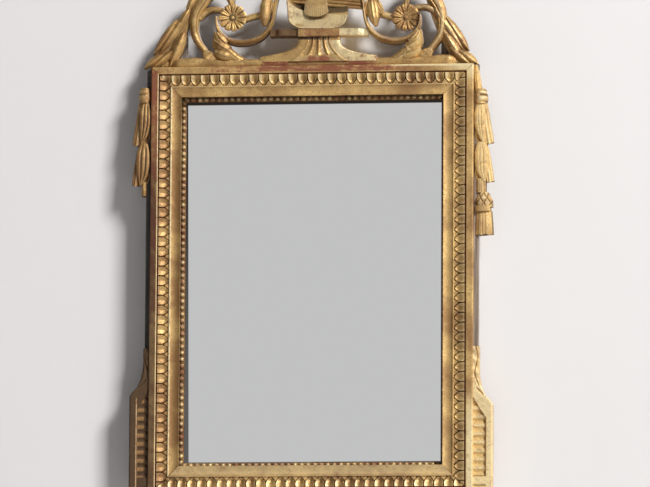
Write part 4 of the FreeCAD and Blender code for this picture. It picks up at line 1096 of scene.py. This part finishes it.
# %% Tassel
cap_x, cap_l, collar_from, collar_to, skirt_from = 15.0, 21.0, 20.0, 28.0, 27.0


def lattice(a, b):
    """Crossed diagonal cuts on the cap, each a high power of the cosine of a slanting wave."""
    one, two = (np.cos(math.pi * (1.3 * a + slant * b)) ** 20 for slant in (1.2, -1.2))
    return 0.4 - 1.7 * np.maximum(one, two)


def hanging(x, start, stop):
    """The two ends of a straight length that hangs from the tassel's top."""
    return [(x, tassel_top + start), (x, tassel_top + stop)]


cap = strip(hanging(cap_x, 0, cap_l), [16, 26, 27], drop_back, drop_front + np.array([-2, 2, 1]), lattice,
            n=44, m=41)
collar = strip(hanging(cap_x - 1, collar_from, collar_to), [22, 23, 22], drop_back, drop_front + 2,
               n=20, wall=0.8)
skirt = strip(hanging(cap_x, skirt_from, tassel_l), [24, 27, 28.5], drop_back,
              drop_front + np.array([-2, 0, -1]), reeded, n=30, m=49)
tassel = [{**g, "carve": g["carve"] - 0.15} for g in (cap, collar, hemmed(skirt, tassel_top + tassel_l))]
piece("carved_tassel", list(hung(tassel, 1)), gilt_matt, ["drop_tassel_right"])

# %% Consoles
console_h, plinth, console_front, console_stile, flute_pitch = 221.0, 28.0, 34.0, 10.0, 12.6


def console(shoulder, soil):
    """Rows up the bracket and columns across it. The outer edge follows the shoulder, and the sunk panel and
    its flutes are steps and waves in depth. soil is 0 on the bright bracket and 1 on the dark one, whose
    darkness is painted shade."""
    z = np.linspace(0, console_h, 190)[:, None]
    f = np.linspace(0, 1, 44)[None, :]
    edge_z = [0, shoulder, shoulder + 6, shoulder + 13, shoulder + 27, shoulder + 45, console_h]
    edge_x = [side_reach, side_reach, side_reach - 4, side_reach - 11, side_reach - 17, side_reach - 20, 9.0]
    outer = np.interp(z, edge_z, edge_x)
    x = f * outer
    panel_x = side_reach - console_stile - 2 * (soil > 0)
    top = shoulder + 10.5 - 31.5 * x / panel_x
    inside = ease((panel_x - x) / 1.2) * ease((z - plinth) / 1.5) * ease((top - z) / 1.6)
    flute = np.abs(np.cos(math.pi * (z - plinth) / flute_pitch))
    fine = 0.3 * (soil == 0) * np.cos(6 * math.pi * (z - plinth) / flute_pitch)
    leaf = ease((z - shoulder - 24) / 12)
    rib = swell(f, 0.5 + 0.24 * np.sin(0.13 * z), 0.10) + 0.5 * swell(f, 0.86, 0.07)
    slant = swell(z, shoulder + 27.8 - 0.9 * x, 1.5) * ease((x - 4) / 2) * ease((17 - x) / 3)
    foot = (swell(z, plinth, 1.1) + swell(z, plinth / 2, 1.1)) * (x < panel_x)
    sunk = inside * (2.0 + fine + 2.2 * (1 - flute)) + 2.5 * (1 - ease((outer - x) / 2.2))
    carved = leaf * (1.8 * rib + 0.7 * np.cos(0.42 * z + 3 * f)) + 1.6 * slant + 0.8 * foot
    depth = console_front - sunk - carved + 0.25 * hand(5 * x, 5 * z)
    # Painted light: on the bright bracket a dark line along the panel's rim, painted shadow, and along the
    # plinth grooves; on the dark one a painted highlight on the stile's arris, painted shadow of the moulding
    # over its inner edge and upper part, and painted shade overall
    rim = swell(x, panel_x, 0.9) * ease((z - plinth) / 2) * ease((shoulder - 18 - z) / 4) + foot
    arris = swell(x, panel_x + 1.2, 0.6) * ease((z - 6) / 3) * ease((shoulder - z) / 9)
    gap = ease((8 - x) / 2) + 0.6 * leaf + 0.25 * ease((z - shoulder) / 10)
    bright, dark = 0.3 * (1 - inside) - 1.8 * rim, 3.2 * arris - gap - 1
    panel = inside * (0.65 - (0.9 + 0.75 * soil) * flute**1.5)
    carve = 0.45 - panel - 1.1 * leaf * rib - 1.1 * slant + (1 - soil) * bright + soil * dark
    wing = np.minimum(half_wing - half_w, outer)
    behind = np.broadcast_to([drop_back, drop_back, side_seat, side_seat], (len(z), 4))
    xs, ds = np.concatenate([x, outer, wing, wing, 0 * z], 1), np.concatenate([depth, behind], 1)
    marks = np.concatenate([carve, np.full_like(behind, -0.6)], 1)
    return {"points": spots(xs, ds, frame_h - z), "carve": marks, "rub": 0.1}


piece("carved_console_right", list(hung([console(135.0, 0.0)], 1)), gilt_matt, ["console_right"])
piece("carved_console_left", list(hung([console(150.0, 1.0)], -1)), gilt_painted_shade, ["console_left"])

# %% [markdown]
# The carcass is plain old softwood, washed grey and darkened with age, and its boards behind are bare.
# One group draws the grain as noise stretched along the board, with darker late-wood lines and a bump to
# match; each wood turns the pattern with its own Mapping so the grain runs the way the board was sawn.

# %% Old wood as a node group
timber, t_in, t_out = group(
    "old_timber",
    [("Place", VECTOR, (0, 0, 0)), ("Light", COLOUR, (0.3, 0.2, 0.12, 1)),
     ("Dark", COLOUR, (0.1, 0.06, 0.03, 1)), ("Soil", FLOAT, 0.4)],
    [("Colour", COLOUR), ("Roughness", FLOAT), ("Height", FLOAT)])
stain_brown, long_grain = (0.03, 0.02, 0.014, 1), (1.0, 1.0, 0.06)
stretch = wire(timber, "ShaderNodeMapping", {"Vector": t_in["Place"], "Scale": long_grain}).outputs["Vector"]
grain = noise(timber, stretch, 260.0, 6.0, 0.6)
rings = noise(timber, stretch, 60.0, 2.0, 0.4)
late = wire(timber, "ShaderNodeTexWave", {"Vector": stretch, "Scale": 42.0, "Distortion": 9.0, "Detail": 2.0,
                                          "Detail Scale": 1.2}).outputs["Fac"]
lines = maths(timber, "MULTIPLY_ADD", late, 0.16, maths(timber, "MULTIPLY", grain, 0.85))
colour = tint(timber, ramp(timber, lines, 0.3, 0.8), t_in["Dark"], t_in["Light"])
stain = ramp(timber, noise(timber, t_in["Place"], 14.0, 5.0, 0.6), 0.42, 0.72)
colour = tint(timber, maths(timber, "MULTIPLY", stain, t_in["Soil"]), colour, stain_brown)
timber.links.new(colour, t_out["Colour"])
timber.links.new(maths(timber, "MULTIPLY_ADD", rings, 0.2, 0.62), t_out["Roughness"])
timber.links.new(lines, t_out["Height"])


def wood(name, light, dark, soil, turn=(0, 0, 0)):
    """Old timber with its grain turned to the board's length."""
    mat, tree, shader = finish(name)
    where = wire(tree, "ShaderNodeMapping", {"Vector": own_place(tree), "Rotation": turn}).outputs["Vector"]
    shares = {"Place": where, "Light": light, "Dark": dark, "Soil": soil}
    board = wire(tree, "ShaderNodeGroup", shares, node_tree=timber)
    tree.links.new(board.outputs["Colour"], shader.inputs["Base Color"])
    tree.links.new(board.outputs["Roughness"], shader.inputs["Roughness"])
    pressed(tree, shader, board.outputs["Height"], 0.0006, 0.5)
    return mat


LYING = (0, math.pi / 2, 0)
carcass_up = wood("carcass_wood_upright", (0.44, 0.37, 0.31, 1), (0.17, 0.13, 0.10, 1), 0.35)
carcass_across = wood("carcass_wood_lying", (0.15, 0.135, 0.12, 1), (0.06, 0.05, 0.045, 1), 0.35, LYING)
board_across = wood("back_board_wood", (0.42, 0.29, 0.17, 1), (0.20, 0.12, 0.06, 1), 0.35, LYING)
carcass_shaded = wood("carcass_wood_shaded", (0.13, 0.12, 0.11, 1), (0.05, 0.045, 0.04, 1), 0.35)
peg_wood = wood("peg_wood", (0.36, 0.22, 0.11, 1), (0.12, 0.07, 0.03, 1), 0.2)
print("woods made")

# %% [markdown]
# Iron fittings rust in blotches, and old silvering foxes. Along the sight edge the glass is darkened with
# painted shade, which stands in for the bead slip's shadow and dark reflection.
# Each is a mask between two states of the same surface: noise for rust and foxing, and for the dark border
# how far a place lies past the sight edge. The rest of the glass stays a plain mirror.

# %% Iron and mirror
iron, tree, shader = finish("old_iron")
spot = noise(tree, own_place(tree), 320.0, 5.0)
rust = ramp(tree, spot, 0.42, 0.62)
iron_grey, rust_brown = (0.055, 0.05, 0.047, 1), (0.13, 0.055, 0.025, 1)
tree.links.new(tint(tree, rust, iron_grey, rust_brown), shader.inputs["Base Color"])
tree.links.new(maths(tree, "MULTIPLY_ADD", rust, 0.35, 0.42), shader.inputs["Roughness"])
tree.links.new(maths(tree, "SUBTRACT", 0.85, maths(tree, "MULTIPLY", rust, 0.7)), shader.inputs["Metallic"])
pressed(tree, shader, spot, 0.0004, 0.6)

silvering, tree, shader = finish("mirror_silvering")
silver, foxed = (0.94, 0.945, 0.94, 1), (0.925, 0.93, 0.92, 1)
border_shade_high, border_shade_low = (0.045, 0.036, 0.03, 1), (0.19, 0.18, 0.17, 1)
here = own_place(tree)
fox = ramp(tree, noise(tree, here, 38.0, 6.0, 0.62), 0.66, 0.78)
tree.links.new(maths(tree, "MULTIPLY_ADD", fox, 0.01, 0.015), shader.inputs["Roughness"])
shader.inputs["Metallic"].default_value = 1.0

# The dark border, painted shade for the bead slip's shadow and reflection: how far a place lies past the
# sight edge, aside and above
sight = moulding_w - lip_overhang + 2 * slip_half
axes = wire(tree, "ShaderNodeSeparateXYZ", {0: here}).outputs
on_left, on_right = (maths(tree, test, axes["X"], 0.0) for test in ("LESS_THAN", "GREATER_THAN"))
low_left = maths(tree, "MULTIPLY", on_left, maths(tree, "SUBTRACT", frame_h * MM, axes["Z"]))
aside = maths(tree, "SUBTRACT", maths(tree, "ABSOLUTE", axes["X"]), (half_w - sight) * MM)
aside = maths(tree, "MULTIPLY_ADD", low_left, 0.010, aside)
aside = maths(tree, "MULTIPLY_ADD", on_right, -right_tuck * MM, aside)
high = maths(tree, "SUBTRACT", axes["Z"], frame_h / 2 * MM)
above = maths(tree, "SUBTRACT", maths(tree, "ABSOLUTE", high), (frame_h / 2 - sight) * MM)
above = maths(tree, "MULTIPLY_ADD", maths(tree, "GREATER_THAN", high, 0.0), 0.003, above)
border = ramp(tree, maths(tree, "MAXIMUM", aside, above), -0.0019, -0.0009)
# Painted shade along the sight edge, darker above than low on the left
painted_border_shade = tint(tree, ramp(tree, low_left, 0.1, 0.5), border_shade_high, border_shade_low)
clear = tint(tree, fox, silver, foxed)
tree.links.new(tint(tree, border, clear, painted_border_shade), shader.inputs["Base Color"])

KEPT = [(silvering, ["mirror_plate"]),
        (peg_wood, ["plate_wedges", "carcass_pegs", "crest_dowels"]),
        (iron, ["backboard_nails", "ornament_pins", "batten_screws", "hanging_eye", "hanging_ring"]),
        (board_across, ["backboard_lower", "backboard_middle", "backboard_upper"]),
        (carcass_shaded, ["carcass_left_stile"]),
        (carcass_up, ["carcass_right_stile", "crest_batten_left", "crest_batten_right"]),
        (carcass_across, ["carcass_top_rail", "carcass_bottom_rail"])]
finish_of = {node: mat for mat, nodes in KEPT for node in nodes}
for node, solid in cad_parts.items():
    solid.data.materials.clear()
    solid.data.materials.append(finish_of.get(node, gilt_carving))
print("finishes on", len(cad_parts), "solids")

# %% [markdown]
# The mirror hangs on a pale wall above a pale floor. Wall and floor show only their front,
# so a view from behind or below still sees the mirror: the back of each sheet is made transparent,
# and so is each sheet to shadow rays, which lets light reach the boards behind.

# %% Wall, floor and light
def sheet_of(name, corners, colour, speckle):
    """A one-sided stage sheet with a faint unevenness."""
    mesh = bpy.data.meshes.new(name)
    mesh.from_pydata(corners, [], [(0, 1, 2, 3)])
    mat, tree, shader = finish(name + "_paint")
    darker = tuple(0.96 * c for c in colour[:3]) + (1,)
    cloudy = noise(tree, own_place(tree), speckle, 3.0)
    tree.links.new(tint(tree, cloudy, colour, darker), shader.inputs["Base Color"])
    shader.inputs["Roughness"].default_value = 0.85
    gone = wire(tree, "ShaderNodeBsdfTransparent").outputs[0]
    unseen = maths(tree, "MAXIMUM", wire(tree, "ShaderNodeNewGeometry").outputs["Backfacing"],
                   wire(tree, "ShaderNodeLightPath").outputs["Is Shadow Ray"])
    mixed = wire(tree, "ShaderNodeMixShader", {0: unseen, 1: shader.outputs[0], 2: gone})
    tree.links.new(mixed.outputs[0], tree.nodes["Material Output"].inputs["Surface"])
    mesh.materials.append(mat)
    made = bpy.data.objects.new(name, mesh)
    bpy.context.scene.collection.objects.link(made)
    made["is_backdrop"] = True
    return made


wall_y, wall_top, floor_z, reach = cad_high[1] + 0.0005, 4.0, -1.45, 14.0
wall_grey, floor_grey = (0.84, 0.83, 0.835, 1), (0.60, 0.595, 0.59, 1)
sheet_of("wall", [(-reach, wall_y, floor_z), (reach, wall_y, floor_z),
                  (reach, wall_y, wall_top), (-reach, wall_y, wall_top)], wall_grey, 2.0)
sheet_of("floor", [(-reach, -reach, floor_z), (reach, -reach, floor_z),
                   (reach, reach, floor_z), (-reach, reach, floor_z)], floor_grey, 1.5)

world = bpy.data.worlds.new("studio")
bpy.context.scene.world = world
world.use_nodes = True
sky = world.node_tree.nodes["Background"].inputs
sky["Color"].default_value = (1, 0.99, 0.98, 1)
sky["Strength"].default_value = 0.025


def aimed(back):
    """Turns that point -Z away from a direction, as spherical angles: tilt from the zenith, then heading."""
    x, y, z = back / np.linalg.norm(back)
    return (math.acos(z), 0.0, math.atan2(x, -y))


def lamp(name, place, aim, width, height, watts, colour):
    """A soft rectangular light that looks at a point."""
    data = bpy.data.lights.new(name, "AREA")
    data.shape, data.size, data.size_y, data.energy, data.color = "RECTANGLE", width, height, watts, colour
    made = bpy.data.objects.new(name, data)
    bpy.context.scene.collection.objects.link(made)
    made.location = place
    made.rotation_euler = aimed(np.array(place) - np.array(aim))
    return made


daylight, screen_white = (1, 0.985, 0.965), (0.995, 0.995, 1)
lamp("window", (5.6, -5.6, 5.4), (0, 0, 0.45), 2.3, 2.3, 1020.0, daylight)
lamp("front_screen", (-0.36, -3.0, 0.79), (0, 0, 0.36), 1.1, 1.3, 2.45, screen_white)
lamp("lamp_behind", (1.0, 4.2, 2.6), (0, 0, 0.4), 2.2, 2.2, 170.0, daylight)
print("stage ready")

# %% [markdown]
# The picture was taken from a little to the right and from below the frame, from far off,
# so its lines stay nearly parallel. The camera stands on that direction, nine metres away,
# with a long lens, and no shift is needed.

# %% Camera
view_azimuth, view_elevation, view_roll = (math.radians(turn) for turn in (6.5, -8.0, 0.34))
view_distance = 9.0
aim_x, aim_depth, aim_z, field_w = 21.0, 37.0, 375.8, 966.5
aim = np.array([aim_x, -aim_depth, aim_z]) * MM
back = np.array([math.sin(view_azimuth) * math.cos(view_elevation),
                 -math.cos(view_azimuth) * math.cos(view_elevation), math.sin(view_elevation)])
level = np.array([math.cos(view_azimuth), math.sin(view_azimuth), 0.0])
upright = np.cross(back, level)
right = level * math.cos(view_roll) + upright * math.sin(view_roll)
lens = bpy.data.cameras.new("camera")
lens.sensor_width = 36.0
lens.lens = lens.sensor_width * view_distance / (field_w * MM)
lens.clip_end = 60.0
camera = bpy.data.objects.new("camera", lens)
bpy.context.scene.collection.objects.link(camera)
camera.location = aim + back * view_distance
camera.rotation_euler = Matrix((right, np.cross(back, right), back)).transposed().to_euler()
bpy.context.scene.camera = camera
bpy.context.scene.view_settings.view_transform = "Standard"
print("lens", round(lens.lens), "mm")

# %% Check the size
low, high = (list(corner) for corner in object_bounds())
below = [round((cad - seen) / MM, 1) for cad, seen in zip(cad_low, low)]
beyond = [round((seen - cad) / MM, 1) for cad, seen in zip(cad_high, high)]
print("stands proud by", below, beyond, "mm")
